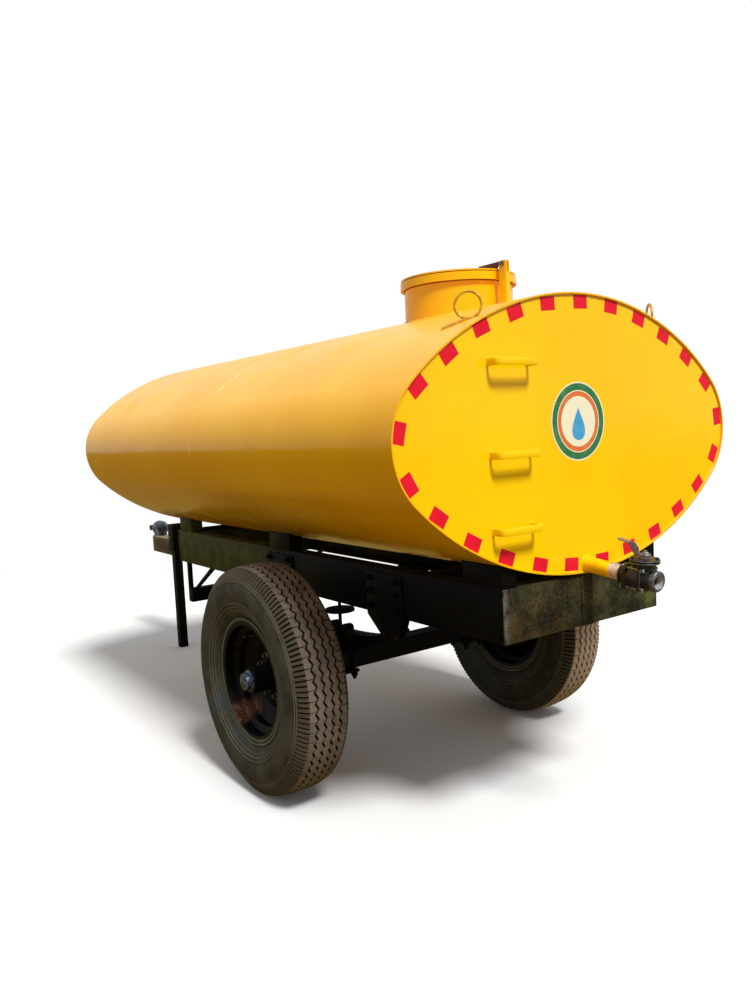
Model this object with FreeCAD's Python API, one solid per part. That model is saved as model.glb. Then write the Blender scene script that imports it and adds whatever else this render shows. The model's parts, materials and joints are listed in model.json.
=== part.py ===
import FreeCAD, Part
import math
import os

# Two-wheel water tanker trailer. Millimetres, +X towards the towing eye, +Y to the left,
# +Z up. The model is laid out from the ground point under the axle and is moved, as it is
# written, so that the origin lies under the middle of its length.

V = FreeCAD.Vector

# ---- driving dimensions -------------------------------------------------------------------

# wheels: 9.00-20 tyre on a 20 inch rim
TYRE_RADIUS = 509.0
TYRE_HALF_WIDTH = 133.0
TREAD_HALF_WIDTH = 97.0
TREAD_FLAT_HALF_WIDTH = 62.0
TREAD_SHOULDER_DROP = 11.0
TYRE_WALL = 15.0
TREAD_THICKNESS = 25.0
RIM_FLANGE_RADIUS = 284.0
RIM_SEAT_RADIUS = 254.0
RIM_WELL_RADIUS = 226.0
RIM_HALF_WIDTH = 92.0
RIM_LIP = 8.0
RIM_BEAD_WIDTH = 42.0
RIM_BEAD_SET_IN = 6.0
RIM_BEAD_DROP = 2.0
RIM_WELL_EDGE = 57.0         # from the flange
RIM_INNER_STEP = 3.0
RIM_THICKNESS = 9.0
DISC_THICKNESS = 12.0
DISC_FACE = -30.0            # outboard face of the wheel disc, from the wheel's middle plane
DISC_HOLE_RADIUS = 75.0
DISC_EDGE = 8.0              # where the dish meets the rim, from the middle plane
DISC_SLOPE = 60.0
WHEEL_Y = 776.5              # middle plane of each wheel

# hub and axle
HUB_BARREL_RADIUS = 58.0
HUB_FLANGE_RADIUS = 110.0
HUB_FLANGE_THICKNESS = 12.0
HUB_INNER_END = -120.0       # from the wheel's middle plane
HUB_OUTER_END = 95.0
HUB_CAP_RADIUS = 37.0
HUB_CAP_LENGTH = 28.0
SPINDLE_RADIUS = 32.0
SPINDLE_CLEARANCE = 0.05
SPINDLE_END_GAP = 8.0
AXLE_BEAM = 90.0             # square section
AXLE_TO_HUB_GAP = 11.5

# springs
SPRING_WIDTH = 70.0
SPRING_LEAF = 12.0
SPRING_LEAVES = 8
SPRING_SEAT = 11.0           # thickness of the pad between axle and spring
SPRING_SEAT_REACH = 72.0
SPRING_RADIUS = 2300.0       # curve of the main leaf's upper face
SPRING_EYE_X = 450.0
SPRING_EYE_RADIUS = 20.0
SPRING_PIN_RADIUS = 10.0
SPRING_SIDE_GAP = 1.5        # to the inner cheek
SPRING_OUTER_GAP = 1.0
SPRING_TO_FRAME = 139.0      # main leaf's top, at the axle, to the frame's underside
U_BOLT_RADIUS = 9.0
U_BOLT_GAP = 4.0
U_BOLT_BEND = 15.0
U_BOLT_BITE = 1.0            # how far the U-bolts sink into the pad
CLAMP_PAD = 10.0
HANGER_PLATE = 10.0
HANGER_FOOT = 250.0          # on the rail's web
HANGER_ROOF = 130.0
HANGER_END_RADIUS = 32.0
STOP_BEHIND_AXLE = 30.0      # bump stop, on the spring clamp
STOP_STUD_RADIUS = 8.0
STOP_DISC_RADIUS = 70.0
STOP_DISC_THICKNESS = 12.0
STOP_DISC_TO_FRAME = 41.0
STOP_STUD_TO_FRAME = 10.0

# frame
FRAME_HALF_WIDTH = 436.0
FRAME_DEPTH = 200.0
FRAME_REAR_X = -1163.0
FRAME_LENGTH = 2965.0
CHANNEL_FLANGE = 75.0
CHANNEL_WEB = 8.0
CHANNEL_FLANGE_THICKNESS = 11.0
# columns: name, place of the web along the frame as a share of its length
INNER_MEMBERS = (("inner_rear", 0.149), ("inner_front", 0.898))
SADDLE_THICKNESS = 10.0
# columns: name, place along the frame as a share (0 at its rear end, 1 at its front end), length
SADDLES = (("rear", 0.003, 205.0), ("middle", 0.549, 210.0), ("front", 0.983, 175.0))

# frame hung under the front of the chassis
DROP_BEHIND_FRONT = 102.0    # the beam's middle, from the frame's front end
DROP_BEAM_DEPTH = 85.0
DROP_BEAM_WIDTH = 60.0
DROP_BELOW_FRAME = 172.0
DROP_STRAP = 26.0
DROP_HALF_WIDTH = 420.0
DROP_BRACE_REACH = 300.0
DROP_BRACE_THICKNESS = 20.0

# drawbar, hitch and parking leg
DRAWBAR_UNDER_FRAME = 322.0
DRAWBAR_REACH = 1498.0       # in front of the frame
DRAWBAR_WIDTH = 120.0
DRAWBAR_DEPTH = 125.0
HITCH_RADIUS = 60.0          # the round housing that the eye's shank turns in
HITCH_DEPTH = 50.0
HITCH_SET_BACK = 5.0
HITCH_FOOT = 90.0
SHANK_RADIUS = 16.0
EYE_NECK_RADIUS = 24.0
EYE_NUT_RADIUS = 27.0
EYE_NUT_HEIGHT = 22.0
EYE_RADIUS = 55.0
EYE_BORE_RADIUS = 26.0
EYE_THICKNESS = 36.0
EYE_REACH = 115.0            # how far the eye's tip stands out past the drawbar
LEG_BEHIND_END = 610.0       # the leg's middle, from the drawbar's front end
LEG_SIDE = 58.0
LEG_GAP = 5.5
LEG_TOP_ABOVE_DRAWBAR = 144.0
LEG_PIVOT_ABOVE_DRAWBAR = 40.0
LEG_PIN_RADIUS = 10.0
BRACKET_PLATE = 8.0
BRACKET_BEHIND_LEG = 25.0
BRACKET_BELOW_DRAWBAR_TOP = 62.0
BRACKET_STOP_HEIGHT = 56.0
LEG_STOP_GAP = 5.5

# tank: the outline is an oval of side, shoulder and crown arcs
TANK_PAST_FRAME = 16.0       # how far the tank stands out behind the frame
TANK_LENGTH = 3219.0
TANK_HALF_WIDTH = 908.5
TANK_HALF_HEIGHT = 524.0
TANK_SIDE_RADIUS = 280.0
SIDE_ARC_END = 46.05         # degrees above the horizontal
CROWN_ARC_START = 60.9
TANK_TO_FRAME = 6.6
LIP_THICKNESS = 6.0
HEAD_THICKNESS = 6.0
HEAD_SET_IN = 8.0

# manhole
MANHOLE_FROM_END = 681.0     # its middle, from the tank's rear end
NECK_RADIUS = 234.0
NECK_WALL = 6.0
NECK_ABOVE_TANK = 153.0
WELL_DEPTH = 350.0
COLLAR_THICKNESS = 16.5
COLLAR_DEPTH = 32.0
GASKET_THICKNESS = 4.0
GASKET_INSET = 5.0
GASKET_WIDTH = 24.0
LID_THICKNESS = 6.0
LID_EDGE_INSET = 3.0
LID_SEAT_GAP = 0.3
LID_STRAP_WIDTH = 50.0
LID_STRAP_THICKNESS = 8.0
LID_STRAP_END_INSET = 60.0
HINGE_BEHIND_COLLAR = 34.5
HINGE_ABOVE_STRAP = 6.0
HINGE_PIN_RADIUS = 6.0
HINGE_EYE_RADIUS = 13.0
HINGE_TONGUE = 9.4
HINGE_CHEEK = 5.3
HINGE_SIDE_GAP = 0.3
HINGE_HEAD_RADIUS = 10.0
HINGE_HEAD_LENGTH = 8.0
POST_DEPTH = 40.0
POST_FOOT = 80.0
PIN_CLEARANCE = 0.05
HANDLE_SPAN = 140.0
HANDLE_HEIGHT = 38.0
HANDLE_ROD_RADIUS = 6.0
HANDLE_FROM_EDGE = 95.0

# lifting rings
RING_RADIUS = 46.0
RING_ROD_RADIUS = 5.0
RING_FROM_TANK_END = 72.0
RING_Y = 500.0
RING_TURN = 40.0             # degrees between the ring's plane and the tank's length
RING_TAIL = 95.0

# steps on the rear head
STEP_CENTRE_Y = 387.0
STEP_WIDTH = 200.0
STEP_REACH = 60.0
STEP_BAR_HEIGHT = 26.0
STEP_BAR_THICKNESS = 8.0
STEP_BEND_RADIUS = 22.0
STEP_HEIGHTS = (265.0, -53.0, -317.0)     # above the tank's centre line

# outlet: 2 inch pipe and ball valve
OUTLET_Y = 0.0
OUTLET_TILT = 5.5            # degrees, down towards its end
PIPE_RADIUS = 30.15
PIPE_WALL = 3.6
PIPE_LENGTH = 187.0
VALVE_SOCKET_RADIUS = 42.0
VALVE_SOCKET_LENGTH = 25.0
VALVE_SOCKET_DEPTH = 18.0
VALVE_BODY_RADIUS = 58.0
VALVE_BODY_LENGTH = 80.0
VALVE_BORE_RADIUS = 25.0
BONNET_RADIUS = 26.0
BONNET_HEIGHT = 80.0
BONNET_PLATE_RADIUS = 47.0
BONNET_PLATE_THICKNESS = 10.0
BONNET_PLATE_TO_LEVER = 7.0
STEM_RADIUS = 8.0
STEM_LENGTH = 14.0
LEVER_WIDTH = 22.0
LEVER_THICKNESS = 5.0
LEVER_REACH = 98.0
LEVER_RISE = 41.0
LEVER_FIN_HEIGHT = 42.0
ADAPTER_NECK_RADIUS = 34.0
ADAPTER_NECK_LENGTH = 26.0
ADAPTER_RIM_RADIUS = 38.0
ADAPTER_RIM_LENGTH = 20.0
ADAPTER_BORE_RADIUS = 26.25
SUPPORT_WIDTH = 60.0
SUPPORT_THICKNESS = 8.0

# ---- sizes that follow ---------------------------------------------------------------------

AXLE_Z = TYRE_RADIUS
SPRING_PACK = SPRING_LEAF * SPRING_LEAVES
SPRING_BOTTOM_Z = AXLE_Z + AXLE_BEAM / 2 + SPRING_SEAT
SPRING_TOP_Z = SPRING_BOTTOM_Z + SPRING_PACK
FRAME_BOTTOM_Z = SPRING_TOP_Z + SPRING_TO_FRAME
FRAME_TOP_Z = FRAME_BOTTOM_Z + FRAME_DEPTH
FRAME_FRONT_X = FRAME_REAR_X + FRAME_LENGTH
FRAME_TOE_Y = FRAME_HALF_WIDTH - CHANNEL_FLANGE
SPRING_Y = FRAME_HALF_WIDTH - SPRING_OUTER_GAP - SPRING_WIDTH / 2
DROP_X = FRAME_FRONT_X - DROP_BEHIND_FRONT
TANK_REAR_X = FRAME_REAR_X - TANK_PAST_FRAME
TANK_Z = FRAME_TOP_Z + TANK_TO_FRAME + TANK_HALF_HEIGHT
TANK_TOP_Z = TANK_Z + TANK_HALF_HEIGHT
TANK_FRONT_X = TANK_REAR_X + TANK_LENGTH
HEAD_FACE_X = TANK_REAR_X + HEAD_SET_IN
MANHOLE_X = TANK_REAR_X + MANHOLE_FROM_END
NECK_TOP_Z = TANK_TOP_Z + NECK_ABOVE_TANK
COLLAR_RADIUS = NECK_RADIUS + COLLAR_THICKNESS
LID_BOTTOM_Z = NECK_TOP_Z + GASKET_THICKNESS + LID_SEAT_GAP
LID_TOP_Z = LID_BOTTOM_Z + LID_THICKNESS
LID_RADIUS = COLLAR_RADIUS - LID_EDGE_INSET
STRAP_TOP_Z = LID_TOP_Z + LID_STRAP_THICKNESS
HINGE_X = MANHOLE_X - COLLAR_RADIUS - HINGE_BEHIND_COLLAR
HINGE_Z = STRAP_TOP_Z + HINGE_ABOVE_STRAP
OUTLET_Z = FRAME_TOP_Z + TANK_TO_FRAME + PIPE_RADIUS
PIPE_END_X = HEAD_FACE_X - PIPE_LENGTH
SOCKET_FRONT_X = PIPE_END_X + VALVE_SOCKET_DEPTH
SOCKET_REAR_X = SOCKET_FRONT_X - VALVE_SOCKET_LENGTH
VALVE_REAR_X = SOCKET_REAR_X - VALVE_BODY_LENGTH
STEM_X = SOCKET_REAR_X - VALVE_BODY_LENGTH / 2
OUTLET_END_X = VALVE_REAR_X - ADAPTER_NECK_LENGTH - ADAPTER_RIM_LENGTH
DRAWBAR_TOP_Z = FRAME_BOTTOM_Z
DRAWBAR_REAR_X = FRAME_FRONT_X - DRAWBAR_UNDER_FRAME
DRAWBAR_FRONT_X = FRAME_FRONT_X + DRAWBAR_REACH
EYE_TIP_X = DRAWBAR_FRONT_X + EYE_REACH
EYE_X = EYE_TIP_X - EYE_RADIUS
EYE_Z = DRAWBAR_TOP_Z + HITCH_RADIUS
HITCH_FRONT_X = DRAWBAR_FRONT_X - HITCH_SET_BACK
HITCH_REAR_X = HITCH_FRONT_X - HITCH_DEPTH
LEG_X = DRAWBAR_FRONT_X - LEG_BEHIND_END
LEG_Y = DRAWBAR_WIDTH / 2 + BRACKET_PLATE + LEG_GAP + LEG_SIDE / 2
LEG_PIVOT_Z = DRAWBAR_TOP_Z + LEG_PIVOT_ABOVE_DRAWBAR
TILT = math.radians(OUTLET_TILT)
REAR_TIP_X = HEAD_FACE_X + (OUTLET_END_X - HEAD_FACE_X) * math.cos(TILT)
REAR_TIP_X -= ADAPTER_RIM_RADIUS * math.sin(TILT)
MIDDLE_X = (REAR_TIP_X + EYE_TIP_X) / 2

SIDES = (("left", 1), ("right", -1))


# ---- helpers -------------------------------------------------------------------------------

def save(name, shape):
    """Write one sub-part, moved so that the origin lies under the middle of the length."""
    moved = shape.removeSplitter()
    moved.translate(V(-MIDDLE_X, 0, 0))
    moved.exportStep(f"parts/{name}.step")
    print(f"{name}: {len(moved.Solids)} solid, {moved.Volume / 1e6:.3f} litres")


def box(x0, x1, y0, y1, z0, z1):
    """A box between two values on each axis, given in either order."""
    low = V(min(x0, x1), min(y0, y1), min(z0, z1))
    return Part.makeBox(abs(x1 - x0), abs(y1 - y0), abs(z1 - z0), low)


def rod(radius, start, end):
    """A round bar from one point to another."""
    along = V(*end) - V(*start)
    return Part.makeCylinder(radius, along.Length, V(*start), along)


def face_of(edges):
    return Part.Face(Part.Wire(edges))


def line(a, b):
    return Part.LineSegment(V(*a), V(*b)).toShape()


def arc(a, middle, b):
    return Part.Arc(V(*a), V(*middle), V(*b)).toShape()


def mirrored(shape):
    """The same piece on the other side of the trailer's middle plane."""
    return shape.mirror(V(0, 0, 0), V(0, 1, 0))


def sided(shape, side):
    return shape if side > 0 else mirrored(shape)


def channel(x0, x1, web_y):
    """A frame rail of channel section, its web's outer face at web_y, open inwards."""
    inner_y = web_y - math.copysign(CHANNEL_WEB, web_y)
    toe_y = web_y - math.copysign(CHANNEL_FLANGE, web_y)
    solid = box(x0, x1, web_y, toe_y, FRAME_BOTTOM_Z, FRAME_TOP_Z)
    hollow = box(x0, x1, inner_y, toe_y, FRAME_BOTTOM_Z + CHANNEL_FLANGE_THICKNESS,
                 FRAME_TOP_Z - CHANNEL_FLANGE_THICKNESS)
    return solid.cut(hollow)


def oval_arcs():
    """Centre and radius of the side, shoulder and crown arcs, from the tank's middle."""
    a, b, rs = TANK_HALF_WIDTH, TANK_HALF_HEIGHT, TANK_SIDE_RADIUS
    ts, tt = math.radians(SIDE_ARC_END), math.radians(CROWN_ARC_START)
    # the shoulder and crown radii follow from meeting the side arc and the crown in line
    m11, m12 = math.cos(tt) - math.cos(ts), -math.cos(tt)
    m21, m22 = math.sin(tt) - math.sin(ts), 1 - math.sin(tt)
    r1, r2 = -(a - rs) - rs * math.cos(ts), b - rs * math.sin(ts)
    det = m11 * m22 - m12 * m21
    shoulder = (r1 * m22 - m12 * r2) / det
    crown = (m11 * r2 - r1 * m21) / det
    shoulder_y = a - rs - (shoulder - rs) * math.cos(ts)
    shoulder_z = -(shoulder - rs) * math.sin(ts)
    return (a - rs, 0.0, rs), (shoulder_y, shoulder_z, shoulder), (0.0, b - crown, crown)


def oval_face(x, inset):
    """The tank's outline at x, all its arcs smaller by inset on the same centres."""
    side, shoulder, crown = oval_arcs()
    ts, tt = math.radians(SIDE_ARC_END), math.radians(CROWN_ARC_START)
    # columns: arc, start and end angle, mirror in Y, mirror in Z
    arcs = (
        (side, -ts, ts, 1, 1),
        (shoulder, ts, tt, 1, 1),
        (crown, tt, math.pi - tt, 1, 1),
        (shoulder, tt, ts, -1, 1),
        (side, ts, -ts, -1, 1),
        (shoulder, ts, tt, -1, -1),
        (crown, math.pi - tt, tt, 1, -1),
        (shoulder, tt, ts, 1, -1),
    )
    edges = []
    for (cy, cz, radius), start, end, my, mz in arcs:
        points = []
        for angle in (start, (start + end) / 2, end):
            y = cy + (radius - inset) * math.cos(angle)
            z = cz + (radius - inset) * math.sin(angle)
            points.append((x, my * y, TANK_Z + mz * z))
        edges.append(arc(*points))
    return face_of(edges)


def oval_solid(x0, x1, inset):
    return oval_face(x0, inset).extrude(V(x1 - x0, 0, 0))


def tank_height(y):
    """Height of the tank's upper side at y, on the crown arc or the shoulder arc."""
    _, shoulder, crown = oval_arcs()
    on_crown = abs(y) <= crown[2] * math.cos(math.radians(CROWN_ARC_START))
    cy, cz, radius = crown if on_crown else shoulder
    return TANK_Z + cz + math.sqrt(radius ** 2 - (abs(y) - cy) ** 2)


def bent_rod(radius, bend, corners):
    """A round bar through the corners of a flat path, with equal bends."""
    points = [V(*corner) for corner in corners]
    edges = []
    start = points[0]
    for before, corner, after in zip(points, points[1:], points[2:]):
        back = (before - corner).normalize()
        ahead = (after - corner).normalize()
        half_angle = back.getAngle(ahead) / 2
        cut = bend / math.tan(half_angle)
        middle = corner + (back + ahead).normalize() * (bend / math.sin(half_angle) - bend)
        edges.append(Part.LineSegment(start, corner + back * cut).toShape())
        edges.append(Part.Arc(corner + back * cut, middle, corner + ahead * cut).toShape())
        start = corner + ahead * cut
    edges.append(Part.LineSegment(start, points[-1]).toShape())
    section = Part.Wire(Part.makeCircle(radius, points[0], points[1] - points[0]))
    return Part.Wire(edges).makePipeShell([section], True, True)


def revolved(points, wheel_side):
    """A ring from (radius, outboard) corners, turned about the axle at one wheel."""
    corners = []
    for radius, outboard in points:
        corners.append(V(0, wheel_side * (WHEEL_Y + outboard), AXLE_Z + radius))
    corners.append(corners[0])
    face = Part.Face(Part.makePolygon(corners))
    return face.revolve(V(0, 0, AXLE_Z), V(0, 1, 0), 360)


TANK_ENVELOPE = oval_solid(TANK_REAR_X, TANK_FRONT_X, 0)


# ---- tank ----------------------------------------------------------------------------------

def outlet_cylinder(radius, x0, x1):
    return rod(radius, (x0, OUTLET_Y, OUTLET_Z), (x1, OUTLET_Y, OUTLET_Z))


def tilted(shape):
    """The outlet's shapes are drawn level and then turned down about the pipe's root."""
    turned = shape.copy()
    turned.rotate(V(HEAD_FACE_X, OUTLET_Y, OUTLET_Z), V(0, 1, 0), -OUTLET_TILT)
    return turned


def outlet_bar(radius, x1):
    """A tilted round bar from the head's face out to x1 along the pipe."""
    bar = tilted(outlet_cylinder(radius, HEAD_FACE_X + radius, x1))
    reach = 2 * PIPE_LENGTH
    behind = box(HEAD_FACE_X - reach, HEAD_FACE_X, OUTLET_Y - reach, OUTLET_Y + reach,
                 OUTLET_Z - reach, OUTLET_Z + reach)
    return bar.common(behind)


def make_tank():
    pocket = HEAD_SET_IN + HEAD_THICKNESS
    barrel = TANK_ENVELOPE.copy()
    rear_pocket = oval_solid(TANK_REAR_X, TANK_REAR_X + pocket, LIP_THICKNESS)
    front_pocket = oval_solid(TANK_FRONT_X - pocket, TANK_FRONT_X, LIP_THICKNESS)
    well = Part.makeCylinder(NECK_RADIUS - NECK_WALL, WELL_DEPTH + NECK_ABOVE_TANK,
                             V(MANHOLE_X, 0, TANK_TOP_Z - WELL_DEPTH))
    notch = outlet_bar(PIPE_RADIUS, PIPE_END_X)
    barrel = barrel.cut(rear_pocket).cut(front_pocket).cut(well).cut(notch)
    save("tank_barrel", barrel)
    rear_head = oval_solid(HEAD_FACE_X, HEAD_FACE_X + HEAD_THICKNESS, LIP_THICKNESS)
    save("rear_head", rear_head)
    front_face_x = TANK_FRONT_X - HEAD_SET_IN
    save("front_head", oval_solid(front_face_x - HEAD_THICKNESS, front_face_x, LIP_THICKNESS))


def make_manhole():
    centre = V(MANHOLE_X, 0, TANK_Z)
    outer = Part.makeCylinder(NECK_RADIUS, NECK_TOP_Z - TANK_Z, centre)
    inner = Part.makeCylinder(NECK_RADIUS - NECK_WALL, NECK_TOP_Z - TANK_Z, centre)
    collar_base = V(MANHOLE_X, 0, NECK_TOP_Z - COLLAR_DEPTH)
    collar = Part.makeCylinder(COLLAR_RADIUS, COLLAR_DEPTH, collar_base)
    save("manhole_neck", outer.fuse(collar).cut(inner).cut(TANK_ENVELOPE))
    seat = V(MANHOLE_X, 0, NECK_TOP_Z)
    gasket_outer = COLLAR_RADIUS - GASKET_INSET
    gasket = Part.makeCylinder(gasket_outer, GASKET_THICKNESS, seat)
    gasket = gasket.cut(Part.makeCylinder(gasket_outer - GASKET_WIDTH, GASKET_THICKNESS, seat))
    save("lid_gasket", gasket)


def make_lid():
    lid = Part.makeCylinder(LID_RADIUS, LID_THICKNESS, V(MANHOLE_X, 0, LID_BOTTOM_Z))
    save("manhole_lid", lid)
    half = LID_STRAP_WIDTH / 2
    reach = LID_RADIUS - LID_STRAP_END_INSET
    strap = box(MANHOLE_X - reach, MANHOLE_X + reach, -half, half, LID_TOP_Z, STRAP_TOP_Z)
    tongue = box(HINGE_X, MANHOLE_X - reach + LID_STRAP_WIDTH, -HINGE_TONGUE / 2,
                 HINGE_TONGUE / 2, STRAP_TOP_Z, HINGE_Z + HINGE_EYE_RADIUS)
    under = box(MANHOLE_X - LID_RADIUS + LID_EDGE_INSET, MANHOLE_X - reach,
                -HINGE_TONGUE / 2, HINGE_TONGUE / 2, LID_TOP_Z, STRAP_TOP_Z)
    eye = rod(HINGE_EYE_RADIUS, (HINGE_X, -HINGE_TONGUE / 2, HINGE_Z),
              (HINGE_X, HINGE_TONGUE / 2, HINGE_Z))
    bore = rod(HINGE_PIN_RADIUS + PIN_CLEARANCE, (HINGE_X, -half, HINGE_Z),
               (HINGE_X, half, HINGE_Z))
    save("lid_hinge_strap", strap.fuse([tongue, under, eye]).cut(bore))
    save("lid_handle", lid_handle())


def lid_handle():
    """A bent rod with two upright legs and a grip across the lid."""
    x = MANHOLE_X + LID_RADIUS - HANDLE_FROM_EDGE
    half = HANDLE_SPAN / 2
    top = LID_TOP_Z + HANDLE_HEIGHT
    corners = ((x, -half, LID_TOP_Z), (x, -half, top), (x, half, top), (x, half, LID_TOP_Z))
    return bent_rod(HANDLE_ROD_RADIUS, HANDLE_HEIGHT / 2, corners)


def make_hinge_post():
    slot = HINGE_TONGUE / 2 + HINGE_SIDE_GAP
    half = slot + HINGE_CHEEK
    x0, x1 = HINGE_X - POST_DEPTH / 2, HINGE_X + POST_DEPTH / 2
    post = box(x0, x1, -half, half, TANK_Z, HINGE_Z)
    crown = rod(POST_DEPTH / 2, (HINGE_X, -half, HINGE_Z), (HINGE_X, half, HINGE_Z))
    crown = crown.common(box(x0, x1, -half, half, HINGE_Z - 1, HINGE_Z + HINGE_EYE_RADIUS))
    slot_box = box(x0, x1, -slot, slot, LID_TOP_Z - POST_DEPTH / 2, HINGE_Z + POST_DEPTH)
    foot_half = POST_FOOT / 2
    foot = box(HINGE_X - foot_half, x1, -foot_half, foot_half, TANK_Z, TANK_TOP_Z + LIP_THICKNESS)
    bore = rod(HINGE_PIN_RADIUS, (HINGE_X, -half, HINGE_Z), (HINGE_X, half, HINGE_Z))
    shape = post.fuse([crown, foot]).cut(slot_box).cut(bore).cut(TANK_ENVELOPE)
    save("lid_hinge_post", shape)
    pin = rod(HINGE_PIN_RADIUS, (HINGE_X, -half, HINGE_Z), (HINGE_X, half, HINGE_Z))
    heads = []
    for side in (1, -1):
        heads.append(rod(HINGE_HEAD_RADIUS, (HINGE_X, side * half, HINGE_Z),
                         (HINGE_X, side * (half + HINGE_HEAD_LENGTH), HINGE_Z)))
    save("lid_hinge_pin", pin.fuse(heads))


def make_lifting_rings():
    turn = math.radians(RING_TURN)
    along = V(math.cos(turn), math.sin(turn), 0)
    foot_x = TANK_REAR_X + RING_FROM_TANK_END
    foot = V(foot_x, RING_Y, tank_height(RING_Y) + RING_ROD_RADIUS / 2)
    loop = Part.makeTorus(RING_RADIUS, RING_ROD_RADIUS, foot + V(0, 0, RING_RADIUS),
                          V(-math.sin(turn), math.cos(turn), 0))
    tails = []
    for sign, length in ((1, RING_TAIL), (-1, RING_TAIL / 2)):
        tip = foot + along * (sign * length)
        tip.z = tank_height(tip.y) + RING_ROD_RADIUS / 2
        tails.append(rod(RING_ROD_RADIUS, tuple(foot), tuple(tip)))
    ring = loop.fuse(tails).cut(TANK_ENVELOPE)
    for name, side in SIDES:
        save(f"lifting_ring_{name}", sided(ring, side))


def make_steps():
    y0, y1 = STEP_CENTRE_Y - STEP_WIDTH / 2, STEP_CENTRE_Y + STEP_WIDTH / 2
    bar = STEP_BAR_THICKNESS
    rear_x = HEAD_FACE_X - STEP_REACH
    steps = []
    for height in STEP_HEIGHTS:
        z0 = TANK_Z + height - STEP_BAR_HEIGHT / 2
        z1 = z0 + STEP_BAR_HEIGHT
        outer = rounded_rear(rear_x, HEAD_FACE_X, y0, y1, z0, z1, STEP_BEND_RADIUS)
        inner = rounded_rear(rear_x + bar, HEAD_FACE_X, y0 + bar, y1 - bar, z0, z1,
                             STEP_BEND_RADIUS - bar)
        steps.append(outer.cut(inner))
    save("rear_steps", Part.makeCompound(steps))


def rounded_rear(x0, x1, y0, y1, z0, z1, radius):
    """A box whose two upright edges at x0 are rounded."""
    shape = box(x0, x1, y0, y1, z0, z1)
    edges = []
    for edge in shape.Edges:
        bounds = edge.BoundBox
        if bounds.ZLength > bounds.XLength + bounds.YLength and bounds.XMax < x0 + 0.001:
            edges.append(edge)
    return shape.makeFillet(radius, edges)


# ---- outlet --------------------------------------------------------------------------------

def make_outlet():
    pipe = outlet_bar(PIPE_RADIUS, PIPE_END_X)
    hollow = outlet_bar(PIPE_RADIUS - PIPE_WALL, PIPE_END_X)
    save("outlet_pipe", pipe.cut(hollow))
    socket = outlet_cylinder(VALVE_SOCKET_RADIUS, SOCKET_FRONT_X, SOCKET_REAR_X)
    body = outlet_cylinder(VALVE_BODY_RADIUS, SOCKET_REAR_X, VALVE_REAR_X)
    bonnet = rod(BONNET_RADIUS, (STEM_X, OUTLET_Y, OUTLET_Z),
                 (STEM_X, OUTLET_Y, OUTLET_Z + BONNET_HEIGHT))
    stem_top = OUTLET_Z + BONNET_HEIGHT + STEM_LENGTH
    stem = rod(STEM_RADIUS, (STEM_X, OUTLET_Y, OUTLET_Z), (STEM_X, OUTLET_Y, stem_top))
    plate_top = OUTLET_Z + BONNET_HEIGHT - BONNET_PLATE_TO_LEVER
    plate = rod(BONNET_PLATE_RADIUS, (STEM_X, OUTLET_Y, plate_top - BONNET_PLATE_THICKNESS),
                (STEM_X, OUTLET_Y, plate_top))
    valve = socket.fuse([body, bonnet, plate, stem])
    valve = valve.cut(outlet_cylinder(PIPE_RADIUS, SOCKET_FRONT_X, PIPE_END_X))
    valve = valve.cut(outlet_cylinder(VALVE_BORE_RADIUS, PIPE_END_X, VALVE_REAR_X))
    save("ball_valve", tilted(valve))
    save("valve_lever", tilted(valve_lever()))
    neck_end = VALVE_REAR_X - ADAPTER_NECK_LENGTH
    neck = outlet_cylinder(ADAPTER_NECK_RADIUS, VALVE_REAR_X, neck_end)
    rim = outlet_cylinder(ADAPTER_RIM_RADIUS, neck_end, OUTLET_END_X)
    bore = outlet_cylinder(ADAPTER_BORE_RADIUS, VALVE_REAR_X, OUTLET_END_X)
    save("hose_adapter", tilted(neck.fuse(rim).cut(bore)))
    support = box(FRAME_REAR_X, FRAME_REAR_X - SUPPORT_THICKNESS, OUTLET_Y - SUPPORT_WIDTH / 2,
                  OUTLET_Y + SUPPORT_WIDTH / 2, FRAME_BOTTOM_Z, OUTLET_Z)
    support = support.cut(TANK_ENVELOPE)
    support = support.cut(outlet_bar(PIPE_RADIUS, PIPE_END_X))
    save("outlet_support", support)


def valve_lever():
    """A cranked flat lever over the pipe, with an upright fin where it meets the stem."""
    z = OUTLET_Z + BONNET_HEIGHT
    t = LEVER_THICKNESS
    crank = LEVER_REACH / 4
    profile = (
        (STEM_X - LEVER_WIDTH / 2, z),
        (STEM_X + crank, z),
        (STEM_X + 2 * crank, z + LEVER_RISE - t),
        (STEM_X + LEVER_REACH, z + LEVER_RISE),
        (STEM_X + LEVER_REACH, z + LEVER_RISE + t),
        (STEM_X + 2 * crank - t, z + LEVER_RISE),
        (STEM_X + crank - t / 2, z + t),
        (STEM_X - LEVER_WIDTH / 2, z + t),
    )
    y0 = OUTLET_Y - LEVER_WIDTH / 2
    corners = []
    for x, height in profile + profile[:1]:
        corners.append(V(x, y0, height))
    blade = Part.Face(Part.makePolygon(corners)).extrude(V(0, LEVER_WIDTH, 0))
    fin = box(STEM_X - LEVER_WIDTH / 2, STEM_X + STEM_RADIUS, y0, y0 + t,
              z, z + LEVER_FIN_HEIGHT)
    hole = rod(STEM_RADIUS + PIN_CLEARANCE, (STEM_X, OUTLET_Y, z),
               (STEM_X, OUTLET_Y, z + LEVER_FIN_HEIGHT))
    return blade.fuse(fin).cut(hole)


# ---- frame ---------------------------------------------------------------------------------

def end_member(outer_x, inward):
    """A member that closes the frame's end: its web covers the ends of both rails."""
    web_x = outer_x + inward * CHANNEL_WEB
    flange_x = outer_x + inward * CHANNEL_FLANGE
    web = box(outer_x, web_x, -FRAME_HALF_WIDTH, FRAME_HALF_WIDTH, FRAME_BOTTOM_Z, FRAME_TOP_Z)
    return web.fuse(member_flanges(web_x, flange_x))


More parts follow.
